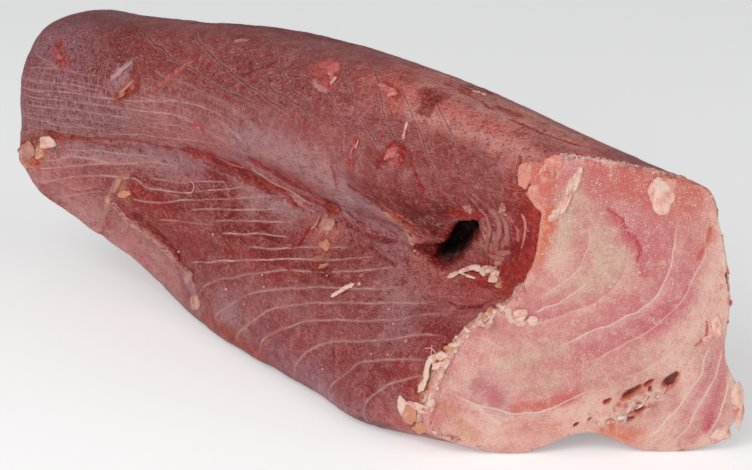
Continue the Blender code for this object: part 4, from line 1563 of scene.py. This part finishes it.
# each row of the lip: how far back in lip lengths, how high in lip heights
lip_steps = ((0.10, 0.7), (0.30, 1.0), (0.60, 0.9), (0.9, 0.3), (1.1, -1.6), (1.6, -3.5))
lip = [last + backwards * (share * lip_length + 0.5)[:, None] + rim_out * (rise * lip_height)[:, None]
       for share, rise in lip_steps]
lip = np.stack(lip)
face_all = np.concatenate((face_shaped, lip))
face_all[..., 2] = np.maximum(face_all[..., 2], LOWEST)
lip_tint = np.broadcast_to(face_tint[-1], (len(lip_steps), *face_tint.shape[1:])).copy()
lip_shade = np.linspace(0.05, 0.6, len(lip_steps))[:, None] * np.ones(FACE_COLUMNS)
lip_tint = lay_over(lip_tint, ("cut_salmon", lip_shade))
all_tint = np.concatenate((face_tint, lip_tint))


def with_lip(values, at_lip):
    """A face grid's values, with one value all over the lip's rows."""
    return np.concatenate((values, np.full((len(lip_steps), FACE_COLUMNS), at_lip)))


arcs = np.stack((with_lip(arc_distance, 9.0), with_lip(arc_strength, 0.0)), -1)
frost = with_lip((0.35 + 0.65 * eased(90, 150, face_z)) * (1 - opened_all), 0.3)
arcs = np.concatenate((arcs, frost[..., None]), -1)
face_torn_paint = np.concatenate((linear(np.clip(face_torn, 0, 1)), face_torn_strength[..., None]), -1)
face_torn_paint = np.concatenate((face_torn_paint, np.zeros((len(lip_steps), FACE_COLUMNS, 4))))
print("the lip is up to", round(float(lip_length.max()), 1), "mm long")

# %% [markdown]
# ## The finish of the sawn face
# Sawn frozen flesh is pale pink to cream, with a fine dusting of frost and saw meal that
# glitters. It is duller than the trimmed sides. The colour comes from the mesh, the dusting
# from noises of four sizes, and the arcs from the kept distance.

# %% Sawn flesh
def sawn_flesh():
    """Pale sawn flesh: the mesh's paint under saw meal and blotches, the arcs at their kept
    distance, the torn layer, and frost that glitters."""
    material, tree, shader = new_finish(
        "sawn_flesh", Subsurface_Weight=0.12, Subsurface_Scale=0.0025,
        Subsurface_Radius=(1.0, 0.45, 0.35), Specular_IOR_Level=0.42)
    place = add_node(tree, "ShaderNodeTexCoord").outputs["Object"]
    colour = painted(tree, "tint")[0]
    torn_colour, torn_amount = painted(tree, "torn")
    distance, strength, frost = three(tree, "arcs")

    meal = stretched_noise(tree, place, (0.8, 0.8, 0.8), rough=0.8) * 1.7
    mottle = stretched_noise(tree, place, (2.2, 2.2, 2.2))
    blotch = stretched_noise(tree, place, (6.0, 6.0, 6.0), detail=3.0)
    light = meal + blotch * 0.9 + mottle * 0.5
    colour = mixed(light.pushed(1.8), colour, "cream")
    colour = mixed(light.pushed(-1.8), colour, "cut_rose")

    line = (abs(distance) + mottle * 0.8).ramp(0.12, 0.60, 1.0, 0.0) * strength
    colour = mixed(line * 0.75, colour, "white")

    shaded = mixed(light.pushed(1.6), torn_colour, "white")
    shaded = mixed(light.pushed(-1.6), shaded, "cut_salmon")
    edge = torn_amount + meal * 0.4 + mottle * 0.8
    colour = torn_over(colour, edge, torn_amount, shaded, 0.85)[0]

    grains = stretched_noise(tree, place, (0.6, 0.6, 0.6), detail=1.0)
    glitter = grains.ramp(0.12, 0.20) * frost
    # white specks: the frost's own colour, and partly painted glints
    colour = mixed(glitter * 0.65, colour, "white")
    rough = meal * 0.8 + 0.52 - glitter * 0.25
    tree.links.new(rough.socket, shader.inputs["Roughness"])
    join_up(tree, shader, colour, light + glitter * 0.5 + line * 0.4, 0.9, 0.7)
    return material


SAWN = sawn_flesh()
polygons = closed_faces(*face_all.shape[:2])
middle_pole = face_all[0].mean(0)
back_pole = face_all[-1].mean(0) - FACE_OUT * 6
points = with_poles(face_all, middle_pole, back_pole)
polygons = facing_out(points, polygons)
add_piece("sawn_face", points, polygons, {
    "tint": with_poles(paint(all_tint), paint(face_tint[0]).mean(0), paint(face_tint[0]).mean(0)),
    "torn": with_poles(face_torn_paint, (0, 0, 0, 0), (0, 0, 0, 0)),
    "arcs": with_poles(arcs, (9, 0, 0.5), (9, 0, 0)),
}, SAWN)
print("the sawn face is", len(points), "points")

# %% [markdown]
# ## Loose tissue
# Knife and saw leave torn fat, curled shreds and crumbs standing on the loin. They stick
# out, hang over edges and cast shadows, which paint on the skin cannot do. So these are
# pieces of their own. A lump or a flake is a ball pushed in and out by noise and pressed
# flat. A shred is a flattened tube with a ragged width, laid along a few points that are
# lifted off the flesh. Each takes its seat from the finished surface under it.

# %% Seats on the finished surface
face_points = face_shaped.reshape(-1, 3)
SURFACES = {
    # points, outward normals, and the two measures that a flat place on it gives
    "side": (shaped[BACKBONE_SIDE], shaped_normal[BACKBONE_SIDE], (0, 2)),
    "top": (shaped[TOP], shaped_normal[TOP], (0, 1)),
    "sawn": (face_points, np.broadcast_to(FACE_OUT, face_points.shape), (1, 2)),
}


def seat(places, surface):
    """For each flat place, the nearest point of a finished surface and its outward normal."""
    points, normals, axes = SURFACES[surface]
    flat = points[:, axes]
    places = np.atleast_2d(np.asarray(places, float))
    nearest = [int(((flat - place) ** 2).sum(-1).argmin()) for place in places]
    return points[nearest], normals[nearest]


def turned_frames(out, turns):
    """Two directions square to each outward one. The first points along the loin, or across
    it on the sawn face, then both are turned by an angle in degrees."""
    forward = np.where(np.abs(out[:, :1]) > 0.5, np.array((0.67, 0.74, 0)), np.array((1, 0, 0)))
    along = forward - out * (out * forward).sum(-1, keepdims=True)
    along /= np.linalg.norm(along, axis=-1, keepdims=True)
    over = np.cross(out, along)
    c, s = np.cos(np.radians(turns))[:, None], np.sin(np.radians(turns))[:, None]
    return along * c + over * s, over * c - along * s


def together(points, polygons, tint):
    """Many copies of one closed grid, as one list of points, polygons and colours."""
    count, size = points.shape[:2]
    steps = np.arange(count)[:, None, None] * size
    polygons = [(group[None] + steps).reshape(-1, group.shape[1]) for group in polygons]
    return points.reshape(-1, 3), polygons, tint.reshape(-1, 3)


def joined(parts):
    """Lists of points, polygons and colours as one."""
    starts = np.cumsum([0] + [len(part[0]) for part in parts[:-1]])
    polygons = [group + start for part, start in zip(parts, starts) for group in part[1]]
    return np.concatenate([part[0] for part in parts]), polygons, np.concatenate([part[2] for part in parts])


print({name: len(surface[0]) for name, surface in SURFACES.items()}, "points to sit on")

# %% Lumps and shreds
def lumps(at, out, sizes, turns, colours, rows=16, columns=24, rough=0.30, seed=301):
    """Balls of (long, wide, thick) half sizes in mm, each point pushed along its ray by
    noise and each ball laid flat on its seat. Painted shade makes them redder towards the
    seat and in their dents, and white patches at random are partly painted highlights."""
    tilt = ((np.arange(rows) + 0.5) / rows * math.pi)[:, None]
    about = np.arange(columns) / columns * 2 * math.pi
    upright = np.cos(tilt) + 0 * about
    ball = np.stack((np.sin(tilt) * np.cos(about), np.sin(tilt) * np.sin(about), upright), -1)
    ball = with_poles(ball, (0, 0, 1), (0, 0, -1))[None]
    sizes = np.asarray(sizes, float)[:, None]
    spot = ball + 5 * at[:, None]
    swell = 1 + rough * layered(spot, 0.9, seed, 4)
    bend = np.stack([noise(spot, 0.8, seed + k) for k in (11, 12, 13)], -1)
    local = (ball * swell[..., None] + 0.45 * rough * bend) * sizes
    along, over = turned_frames(out, np.asarray(turns, float))
    points = at[:, None] + along[:, None] * local[..., :1] + over[:, None] * local[..., 1:2]
    points = points + out[:, None] * local[..., 2:]
    base = np.stack([COLOURS[name] for name in colours])[:, None]
    tint = np.broadcast_to(base, points.shape)
    tint = lay_over(
        tint,
        # painted shade: redder in the dents and on the half towards the seat
        ("salmon", 0.5 * eased(1.0, 0.7, swell) + 0.5 * eased(0.5, -0.3, ball[..., 2] + 0 * swell)),
        ("rosy", 0.45 * eased(0.1, 0.9, layered(points, 2.4, seed + 9, 3))),
        # white patches at random, partly painted highlights
        ("white", 0.40 * eased(0.2, 0.9, layered(points, 3.2, seed + 13, 3))),
        ("amber", 0.25 * eased(0.0, 0.8, layered(points, 4, seed + 7, 3))),
    )
    return together(points, closed_faces(rows, columns), tint)


def listed_lumps(items, surface, **settings):
    """Lumps from a list of (colour, flat place, half sizes, turn, how far out of the flesh)."""
    at, out = seat([item[1] for item in items], surface)
    at = at + out * np.array([item[4] for item in items], float)[:, None]
    return lumps(at, out, [item[2] for item in items], [item[3] for item in items],
                 [item[0] for item in items], **settings)


def curled(colour, points, out, width, thickness, seed):
    """A flattened tube along points in space, lying flat against the outward directions.
    Its width swells and narrows by noise and runs out at both ends, and it twists."""
    run = smooth_run(points, 0.35)
    share = np.linspace(0, 1, len(run))[:, None]
    up = np.stack([np.interp(share[:, 0], np.linspace(0, 1, len(out)), out[:, k]) for k in range(3)], -1)
    ahead = np.gradient(run, axis=0)
    ahead /= np.linalg.norm(ahead, axis=-1, keepdims=True)
    over = np.cross(up, ahead)
    over /= np.linalg.norm(over, axis=-1, keepdims=True)
    up = np.cross(ahead, over)
    twist = 0.5 * noise(run, 6, seed)[:, None]
    over, up = over * np.cos(twist) + up * np.sin(twist), up * np.cos(twist) - over * np.sin(twist)
    taper = np.clip(np.minimum(share, 1 - share) * 9, 0.12, 1) ** 0.6
    ragged_width = width * taper * (1 + 0.35 * layered(run, 2.4, seed + 1, 3)[:, None])
    angles = np.arange(14) / 14 * 2 * math.pi
    ring = (over[:, None] * (np.cos(angles)[:, None] * ragged_width[:, None])
            + up[:, None] * (np.sin(angles)[:, None] * (thickness * taper)[:, None]))
    points = run[:, None] + ring * (1 + 0.15 * noise(run[:, None] + 4 * ring, 1.3, seed + 2))[..., None]
    points = with_poles(points, run[0], run[-1])
    polygons = facing_out(points, closed_faces(len(run), 14))
    tint = np.broadcast_to(COLOURS[colour], points.shape)
    tint = lay_over(tint, ("salmon", 0.5 * eased(0.0, 0.9, layered(points, 2.2, seed + 3, 2))))
    return points, polygons, tint


def side_shreds(items, first_seed, seed_step):
    """Shreds on the backbone side, from a list of (colour, path of along, height and height
    above the flesh, half width, half thickness)."""
    parts = []
    for number, (colour, path, width, thickness) in enumerate(items):
        path = np.asarray(path, float)
        at, out = seat(path[:, :2], "side")
        spine = at + out * path[:, 2:]
        parts.append(curled(colour, spine, out, width, thickness, first_seed + seed_step * number))
    return parts


def torn_tissue(name, roughness, scatter):
    """Torn fat or flesh: the mesh's paint with white and red specks, and a wet shine."""
    material, tree, shader = new_finish(
        name, Subsurface_Weight=0.15, Subsurface_Scale=0.0015, Subsurface_Radius=(1.0, 0.5, 0.35),
        Roughness=roughness, Specular_IOR_Level=0.45)
    place = add_node(tree, "ShaderNodeTexCoord").outputs["Object"]
    light = stretched_noise(tree, place, (0.7, 0.7, 0.7), rough=0.7)
    colour = mixed(light.pushed(scatter), painted(tree, "tint")[0], "white")
    colour = mixed(light.pushed(-scatter), colour, "salmon")
    join_up(tree, shader, colour, light, 0.9, 0.7)
    return material


FATTY = torn_tissue("torn_fat", 0.42, 1.8)
MEATY = torn_tissue("torn_flesh", 0.45, 1.2)


def loose_piece(name, parts, material):
    """Adds lumps or shreds as one piece."""
    points, polygons, tint = joined(parts)
    points[:, 2] = np.maximum(points[:, 2], LOWEST)
    piece = add_piece(name, points, polygons, {"tint": paint(tint)}, material)
    print(name, "has", len(points), "points")
    return piece

# %% [markdown]
# ## Folds and fat about the hollow and the corner
# Beside the hollow the flesh is crumpled in round folds, fat lies under its tail, and a
# chunk of fat hangs at the top corner of the saw cut. Relief alone would not give them
# overhangs, so each fold is a shred laid in a bow, and each bit of fat a pressed ball.

# %% Fat about the hollow and the corner
HOLLOW_FAT = (
    # colour, (along, height), half sizes, turn, height of its middle above the flesh
    ("cream", (114, 88.5), (5, 3.2, 2.2), 25, 0.4),
    ("cream", (120.5, 88), (4.4, 3.6, 2.6), -20, 0.6),
    ("amber", (126, 86), (3.6, 2.2, 1.6), -10, 0.1),
    ("fold", (121, 96), (5.4, 2, 1.4), 30, -0.3),
    ("fold", (113.5, 107.5), (2.2, 1.6, 1.3), 0, 0.4),
    ("fold", (104, 121), (2.2, 2, 1.2), 0, 0.3),
    ("fold", (128, 128), (2.1, 2.1, 1.3), 0, 0.3),
)
HOLLOW_FOLDS = (
    # colour, path of (along, height, height above the flesh), half width, half thickness
    ("crumple", ((107, 123, -0.9), (113, 120, -0.2), (116, 113, 0), (114, 104, 0), (108, 96, -0.8)), 1.9, 1),
    ("crumple", ((115, 126, -1), (122, 121, -0.2), (124, 114, -0.1), (121, 106, -0.1), (116, 100, -0.9)),
     1.8, 1),
    ("crumple", ((124, 125, -1), (129, 119, -0.2), (130, 112, -0.2), (127, 105, -0.9)), 1.7, 0.9),
    ("rosy", ((131, 125, -0.9), (136, 118, -0.3), (136, 110, -0.8)), 1.4, 0.8),
    ("salmon", ((138, 131, -0.8), (142, 124, -0.3), (142, 115, -0.4), (139, 107, -0.8)), 1, 0.6),
    ("crumple", ((117, 99, -0.6), (124, 102, -0.1), (131, 104, -0.7)), 1.9, 0.9),
    ("crumple", ((112, 95, -0.6), (119, 97, 0), (127, 99, -0.6)), 2, 1),
)
TAIL_SHREDS = (
    # as for the folds
    ("cream", ((91, 80, 0.3), (96, 83, 1.2), (102, 86, 1.6), (107, 86.5, 1.4), (112, 87, 0.6)), 1.5, 0.6),
    ("cream", ((97, 83, 0.8), (103, 82.5, 1.4), (108, 83, 1)), 0.8, 0.5),
)
CORNER_FAT = (
    # as for the fat about the hollow
    ("chunk", (143, 150), (6.4, 5, 2.2), 75, -0.5),
    ("cut_salmon", (150, 152), (7.6, 6.4, 2), 30, -0.7),
    ("chunk", (150, 143), (6.4, 4.6, 1.8), 65, -0.6),
    ("chunk", (149, 137), (6.8, 2.4, 1.5), -28, -0.3),
)
CORNER_ON_SAWN = (
    # the same, but placed by (across, height) on the sawn face
    ("chunk", (-20, 157), (7, 4.4, 1.2), 30, -0.4),
    ("cut_salmon", (-21, 148), (4, 7, 1.2), 0, -0.5),
)
loose_piece("hollow_folds", side_shreds(HOLLOW_FOLDS, 300, 4), MEATY)
loose_piece("hollow_fat", (
    listed_lumps(HOLLOW_FAT, "side", rows=22, columns=32, rough=0.62),
    *side_shreds(TAIL_SHREDS, 311, 4),
), FATTY)
loose_piece("corner_fat", (
    listed_lumps(CORNER_FAT, "side", rows=26, columns=38, rough=0.32, seed=321),
    listed_lumps(CORNER_ON_SAWN, "sawn", rows=26, columns=38, rough=0.42, seed=325),
), FATTY)

# %% [markdown]
# ## Knots, flaps and shreds
# The knife left knots of fat at the narrow end and beside the groove, flaps at the foot,
# thin curled threads, and crumbs. Hair would do for the threads, but a few flat tubes with
# a ragged width look torn from near by as well.

# %% Knots, flaps and shreds along the side
SIDE_FAT = (
    # colour, (along, height), half sizes, turn, height of its middle above the flesh
    ("cream", (-196, 91), (4.4, 3.6, 2.2), 0, 0.3),
    ("amber", (-200, 85), (4.4, 3, 1.6), 60, 0),
    ("fold", (-209, 84), (6, 4.4, 1.8), 20, -0.2),
    ("fold", (-212, 77), (5.4, 4, 1.4), -40, -0.2),
    ("fold", (-150, 74), (4.6, 2, 1.4), 70, 0),
    ("amber", (-145, 70), (4, 1.8, 1.2), 20, 0),
    ("fold", (-156, 64), (6, 2.4, 1.2), 60, -0.2),
    ("fold", (-90, 19), (5.4, 4.2, 1.8), 50, -0.1),
    ("membrane", (-95, 32), (5, 2.4, 1.2), 60, -0.2),
    ("amber", (104, 21), (5.6, 5.4, 1), 10, -0.1),
    ("cream", (99, 23), (2.6, 5, 0.9), 20, 0.2),
    ("cream", (106, 25), (5.6, 2.2, 0.8), 10, 0.1),
    ("amber", (110, 13), (6, 3.4, 0.9), 30, -0.1),
    ("fold", (9, 67), (3.4, 1.4, 1), 30, 0.2),
    ("fold", (-2, 84), (7.4, 4, 1.4), 10, -0.1),
    ("amber", (5, 76), (4.4, 2.4, 1), -20, -0.1),
)
SIDE_SHREDS = (
    # colour, path of (along, height, height above the flesh), half width, half thickness
    ("cream", ((25, 56, 0.6), (29, 59, 0.9), (33, 62, 0.9), (37, 65, 0.5)), 1.3, 0.8),
    ("cream", ((125, 54, 1.6), (119, 54, 2.8), (114, 51, 2.6), (112, 46, 2.2), (113, 40, 2), (109, 33, 0.8)),
     1.9, 0.9),
    ("cream", ((124, 52, 1), (118, 50, 1.6), (114, 48, 1.2)), 1.2, 0.7),
    ("seam", ((105, 53, 0.4), (110, 55, 0.9), (116, 53, 0.5)), 0.35, 0.3),
    ("seam", ((109, 57, 0.4), (111, 54, 0.8), (112, 51, 0.4)), 0.3, 0.3),
    ("seam", ((61, 158, 0.2), (61.5, 154, 0.5), (61, 150, 0.2)), 0.7, 0.4),
    ("seam", ((31, 143, 0.2), (31.5, 140, 0.5), (31, 137, 0.2)), 0.4, 0.3),
    ("seam", ((-104, 78.5, 0.1), (-99, 80, 0.5), (-98, 83, 0.9), (-102, 85, 1)), 0.3, 0.3),
    ("fold", ((-8, 88, 0.1), (-7, 84, 0.7), (-9, 80, 0.1)), 0.8, 0.6),
    ("fold", ((-3, 89, 0.1), (-2, 85, 0.8), (-3, 80, 0.1)), 0.8, 0.6),
    ("fold", ((3, 87, 0.1), (3, 84, 0.7), (2, 80, 0.1)), 0.7, 0.6),
    ("fold", ((-47, 103, 0), (-38, 99, 0.4), (-31, 96, 0)), 0.5, 0.4),
    ("fold", ((-36, 97, 0), (-26, 93.5, 0.4), (-17, 91, 0)), 0.5, 0.4),
    ("rosy", ((-80, 105, 0), (-70, 103, 0.3), (-62, 101, 0)), 0.5, 0.4),
    ("fold", ((-141, 131, 0), (-136, 136, 0.6), (-130, 141, 0)), 0.9, 0.4),
    ("lilac", ((-145, 139, -0.1), (-139, 146, 0.4), (-133, 152, -0.1)), 1.8, 0.4),
    ("rosy", ((27, 131, 0.1), (28, 136, 0.5), (31, 141, 0.1)), 0.6, 0.4),
    ("rosy", ((50, 137, 0.1), (53, 142, 0.8), (58, 144, 0.3)), 1, 0.5),
)
SIDE_CRUMBS = (
    (-77, 62), (-33, 51), (-60, 36), (35, 22), (-43, 33), (-29, 46), (76, 57), (67, 61), (90, 53), (70, 41),
    (14, 63), (-106, 44), (82, 44), (40, 66),
)
crumb_at, crumb_out = seat(SIDE_CRUMBS, "side")
crumb_sizes = 0.55 + 0.5 * np.random.default_rng(17).uniform(0, 1, (len(SIDE_CRUMBS), 1)) * (1, 1, 0.8)
loose_piece("side_fat", (
    listed_lumps(SIDE_FAT, "side", rows=26, columns=36, rough=0.34, seed=331),
    lumps(crumb_at, crumb_out, crumb_sizes, np.zeros(len(SIDE_CRUMBS)), ["seam"] * len(SIDE_CRUMBS), 6, 10),
), FATTY)
loose_piece("side_shreds", side_shreds(SIDE_SHREDS, 341, 5), FATTY)

# %% [markdown]
# ## Gouged flesh
# Where bones were pulled out, small wet lumps stand in the gouges of the upper side. The
# gouges are relief of the skin, and the lumps are rough balls, sunk until only their tops
# show.

# %% Gouged flesh on the upper side
TOP_LUMPS = (
    # colour, (along, height), half sizes, turn, height of its middle above the flesh
    ("rosy", (-3, 171), (4.6, 2.2, 1.4), 20, 0.2),
    ("salmon", (1, 168), (3.4, 1.6, 1.3), -40, 0.3),
    ("seam", (4, 166), (2.6, 0.8, 0.9), 70, 0.7),
    ("rosy", (40, 170), (4.4, 1.6, 1.3), 10, 0.2),
    ("salmon", (44, 168), (2.6, 1.4, 1.2), 50, 0.3),
    ("rosy", (57, 141), (3, 2.6, 1.2), 30, 0.4),
    ("salmon", (53, 138), (2.4, 1.2, 1), 60, 0.4),
    ("rust", (-138, 132), (3, 1.2, 1), 30, 0.3),
    ("rosy", (-131, 137), (2.4, 1.2, 0.9), 50, 0.3),
    ("rosy", (-186, 145), (2.6, 1.2, 1), -30, 0.3),
    ("rosy", (-81, 125), (2.6, 2, 0.8), 20, 0.2),
)
RIDGE_LUMPS = (
    # colour, (along, across), half sizes, turn, height of its middle above the flesh
    ("seam", (82, 5), (2.2, 0.8, 0.8), 10, 0.4),
    ("seam", (86, 6), (1.4, 0.7, 0.7), 50, 0.4),
)
loose_piece("gouged_flesh", (
    listed_lumps(TOP_LUMPS, "side", rough=0.75, seed=351),
    listed_lumps(RIDGE_LUMPS, "top", rough=0.75, seed=357),
), MEATY)

# %% [markdown]
# ## The frayed edge
# The saw tore the rim of the cut into flakes and curls, most of all low on its left. Placed
# by seeded draws, no two are the same, as on the real edge. They are many, so each has only
# a coarse grid.

# %% The frayed edge of the sawn face
CURL_COUNT = 22
rng = np.random.default_rng(23)


def along_rim(count, where, low, high, hang):
    """Random seats on the rim of the sawn face, where a mask holds, with sizes from low to
    high. Each looks sideways off the rim, the foremost also a little out of the face, and it
    hangs back over the side by a random part of a distance."""
    chosen = rng.choice(np.flatnonzero(where), count)
    size = low + (high - low) * rng.uniform(0, 1, count) ** 1.8
    back = rng.uniform(-0.4, 1.0, count)[:, None] * hang
    at = rim[chosen] + backwards[chosen] * back - rim_out[chosen] * (0.10 * size[:, None]) + FACE_OUT * 0.1
    out = FACE_OUT * rng.uniform(0.0, 0.8, (count, 1)) * (back < 0.5) + rim_out[chosen]
    out /= np.linalg.norm(out, axis=-1, keepdims=True)
    sizes = size[:, None] * np.stack((rng.uniform(0.9, 1.5, count), rng.uniform(0.6, 1.0, count),
                                      rng.uniform(0.13, 0.26, count)), -1)
    return at, out, sizes, rng.uniform(0, 180, count)


rim_across, rim_height = rim[:, 1], rim[:, 2]
left_edge = rim_across < -15
right_edge = (rim_across > 38) & (rim_height > 20)
top_edge = (rim_height > 143) & (rim_across > -16)
FRAYS = (
    # how many, rows and columns of each, where, smallest, largest, how far it hangs, colours
    (48, (10, 16), left_edge & (rim_height > 46) & (rim_height < 84), 0.9, 2.9, 2.6,
     ("cream", "cut_cream", "cream")),
    (40, (10, 16), left_edge & (rim_height > 8) & (rim_height <= 48), 0.9, 2.9, 3.2,
     ("cream", "amber", "cut_cream")),
    (16, (6, 9), left_edge & (rim_height > 82) & (rim_height < 98), 0.7, 1.8, 1,
     ("cut_cream", "cut_salmon")),
    (80, (6, 9), top_edge, 0.5, 2.2, 2.4, ("cut_cream", "cut_salmon", "salmon")),
    (34, (6, 9), right_edge, 0.5, 1.8, 1.2, ("cut_cream", "cream", "cut_salmon")),
    (18, (6, 9), rim_height <= 10, 0.6, 1.6, 0.6, ("cream", "cut_cream")),
)
parts = []
for number, (count, grid, where, low, high, hang, names) in enumerate(FRAYS):
    at, out, sizes, turns = along_rim(count, where, low, high, hang)
    colours = [names[k] for k in rng.integers(0, len(names), count)]
    parts.append(lumps(at, out, sizes, turns, colours, *grid, 1.05, 361 + 5 * number))
curl_places = np.flatnonzero(left_edge & (rim_height > 20) & (rim_height < 86))
for number, k in enumerate(rng.choice(curl_places, CURL_COUNT, replace=False)):
    length = rng.uniform(2.5, 7.0)
    sideways = around[k] / np.linalg.norm(around[k]) * rng.uniform(-2.5, 2.5)
    lift = rng.uniform(0.3, 1.4)
    spine = rim[k] + np.stack((FACE_OUT * 0.3 - rim_out[k] * 1.5,
                               rim_out[k] * 0.5 + backwards[k] * 0.5,
                               backwards[k] * length * 0.6 + rim_out[k] * lift + 0.6 * sideways,
                               backwards[k] * length + rim_out[k] * 0.3 + sideways))
    facing = np.stack((FACE_OUT, rim_out[k], rim_out[k], rim_out[k]))
    parts.append(curled(("cream", "cut_cream", "amber")[number % 3], spine, facing, rng.uniform(0.6, 1.6),
                        rng.uniform(0.25, 0.5), 411 + 5 * number))
loose_piece("frayed_edge", parts, FATTY)

# %% [markdown]
# ## Fat and ice on the cut
# Smears of fat stand up from the cut, white tissue is bunched in the wound at its foot, and
# grains of ice sit on its upper half and its rim. A grain is a ball of three rings with flat
# faces, so that it glints.

# %% Fat and ice on the sawn face
SAWN_FAT = (
    # colour, (across, height), half sizes, turn, height of its middle above the flesh
    ("cut_cream", (22, 142), (7.2, 9.4, 1.8), 10, 0),
    ("cream", (21, 146), (4.6, 4.4, 1.4), 15, 0.7),
    ("cut_cream", (44, 71), (2.4, 4.4, 1), 10, 0.2),
    ("cut_cream", (41, 64), (2.8, 1.6, 0.9), 20, 0.1),
    ("cream", (-30, 78), (4.6, 3, 1.4), 40, 0.2),
    ("cut_cream", (-26, 75), (3, 2.4, 1.2), 10, 0.1),
    ("cream", (53.5, 27), (3.4, 11, 3), 4, -1),
    ("cream", (48, 9), (6.4, 4, 2), 30, -0.8),
    ("cream", (-10, 150), (1.4, 6.6, 0.9), -14, 0),
    ("cut_cream", (-15, 138), (1.3, 7, 0.8), -22, 0),
)
TISSUE_LUMPS = (
    # the same, for the bunched tissue in the wound
    ("white", (8, 22), (2.6, 1, 1), 30, 0.3), ("white", (11, 25.5), (2.6, 0.9, 1), 50, 0.4),
    ("cut_rose", (13, 23), (2.2, 1, 0.9), 10, 0.2), ("white", (16, 27), (2.8, 0.9, 1.1), 35, 0.4),
    ("cut_cream", (18, 31), (2.4, 1, 1), 55, 0.3), ("cut_rose", (20, 28), (2, 0.9, 0.8), 20, 0.2),
    ("white", (22, 33), (2.2, 0.8, 0.9), 40, 0.3), ("cut_cream", (6, 18), (2.2, 1, 0.9), 15, 0.2),
    ("white", (10, 18.5), (1.8, 0.8, 0.8), 60, 0.2), ("cut_cream", (24, 36), (1.8, 0.8, 0.8), 60, 0.2),
)
loose_piece("sawn_fat", (
    listed_lumps(SAWN_FAT, "sawn", rows=24, columns=36, rough=0.36, seed=391),
    listed_lumps(TISSUE_LUMPS, "sawn", rough=0.80, seed=395),
), FATTY)

ICE_COUNT = 420
RIM_ICE_COUNT = 160
ice_places = np.stack((rng.uniform(-24, 48, ICE_COUNT), 60 + 106 * rng.uniform(0, 1, ICE_COUNT) ** 0.55), -1)
ice_at, ice_out = seat(ice_places, "sawn")
on_rim = rng.choice(np.flatnonzero((rim_height > 90) & (rim_across > -14)), RIM_ICE_COUNT)
hanging = backwards[on_rim] * rng.uniform(0, 3, (RIM_ICE_COUNT, 1))
ice_at = np.concatenate((ice_at, rim[on_rim] + hanging + 0.3 * rim_out[on_rim]))
ice_out = np.concatenate((ice_out, rim_out[on_rim]))
ice_sizes = rng.uniform(0.12, 0.36, (len(ice_at), 1)) * np.array((1.2, 1.0, 0.9))
ice, ice_polygons, ice_tint = lumps(ice_at, ice_out, ice_sizes, rng.uniform(0, 180, len(ice_at)),
                                    ["white"] * len(ice_at), 3, 6, 0.2, 399)
FROST = new_finish("ice", Base_Color=(0.86, 0.80, 0.78, 1), Roughness=0.12, Specular_IOR_Level=0.6,
                   Subsurface_Weight=0.2, Subsurface_Scale=0.001)[0]
add_piece("ice_grains", ice, ice_polygons, {"tint": paint(ice_tint)}, FROST, smooth=False)
print(len(ice_at), "grains of ice")

# %% [markdown]
# ## The studio
# A plain pale floor, a pale surrounding and three wide soft lamps: the strongest from the
# left of the camera, a weaker one from its right and the weakest from behind it. The camera
# looks down a little on the corner between the trimmed side and the sawn face.

# %% Floor, light and camera
scene = bpy.context.scene
scene.view_settings.view_transform = "Standard"

floor_mesh = bpy.data.meshes.new("floor")
FLOOR_REACH = 3.0
corners = [(FLOOR_REACH * a, FLOOR_REACH * b, 0) for a, b in ((-1, -1), (1, -1), (1, 1), (-1, 1))]
floor_mesh.from_pydata(corners, [], [(0, 1, 2, 3)])
floor_finish = new_finish("pale_floor", Base_Color=(0.86, 0.86, 0.86, 1), Roughness=0.9,
                          Emission_Color=(1.0, 1.0, 1.0, 1), Emission_Strength=0.30)[0]
floor_mesh.materials.append(floor_finish)
floor = bpy.data.objects.new("floor", floor_mesh)
scene.collection.objects.link(floor)

world = bpy.data.worlds.new("pale_surrounding")
world.use_nodes = True
world.node_tree.nodes["Background"].inputs["Color"].default_value = (0.97, 0.98, 1.0, 1)
world.node_tree.nodes["Background"].inputs["Strength"].default_value = 0.30
scene.world = world

LOOK_AT = Vector((-0.0057, 0.0175, 0.066))


def away(azimuth, elevation, distance):
    """A place round the object: azimuth 0 is towards -Y and 90 towards +X."""
    a, e = math.radians(azimuth), math.radians(elevation)
    return LOOK_AT + distance * Vector((math.sin(a) * math.cos(e), -math.cos(a) * math.cos(e), math.sin(e)))


def aim(thing, place):
    """Puts a lamp or camera at a place, looking at the object."""
    thing.location = place
    thing.rotation_euler = (LOOK_AT - place).to_track_quat("-Z", "Y").to_euler()
    scene.collection.objects.link(thing)


LAMPS = (
    # name, azimuth, elevation, distance, width, watts
    ("key", 12, 36, 1.6, 1, 13),
    ("fill", 95, 30, 1.8, 1.6, 7),
    ("front", 46, 12, 2.2, 1.6, 6),
)
for name, azimuth, elevation, distance, width, watts in LAMPS:
    lamp = bpy.data.lights.new(name, "AREA")
    lamp.size = width
    lamp.energy = watts
    aim(bpy.data.objects.new(name, lamp), away(azimuth, elevation, distance))

camera_data = bpy.data.cameras.new("camera")
camera_data.lens = 143.6
camera = bpy.data.objects.new("camera", camera_data)
aim(camera, away(46, 21, 1.65))
scene.camera = camera
print(len(LAMPS), "lamps and a", camera_data.lens, "mm lens")
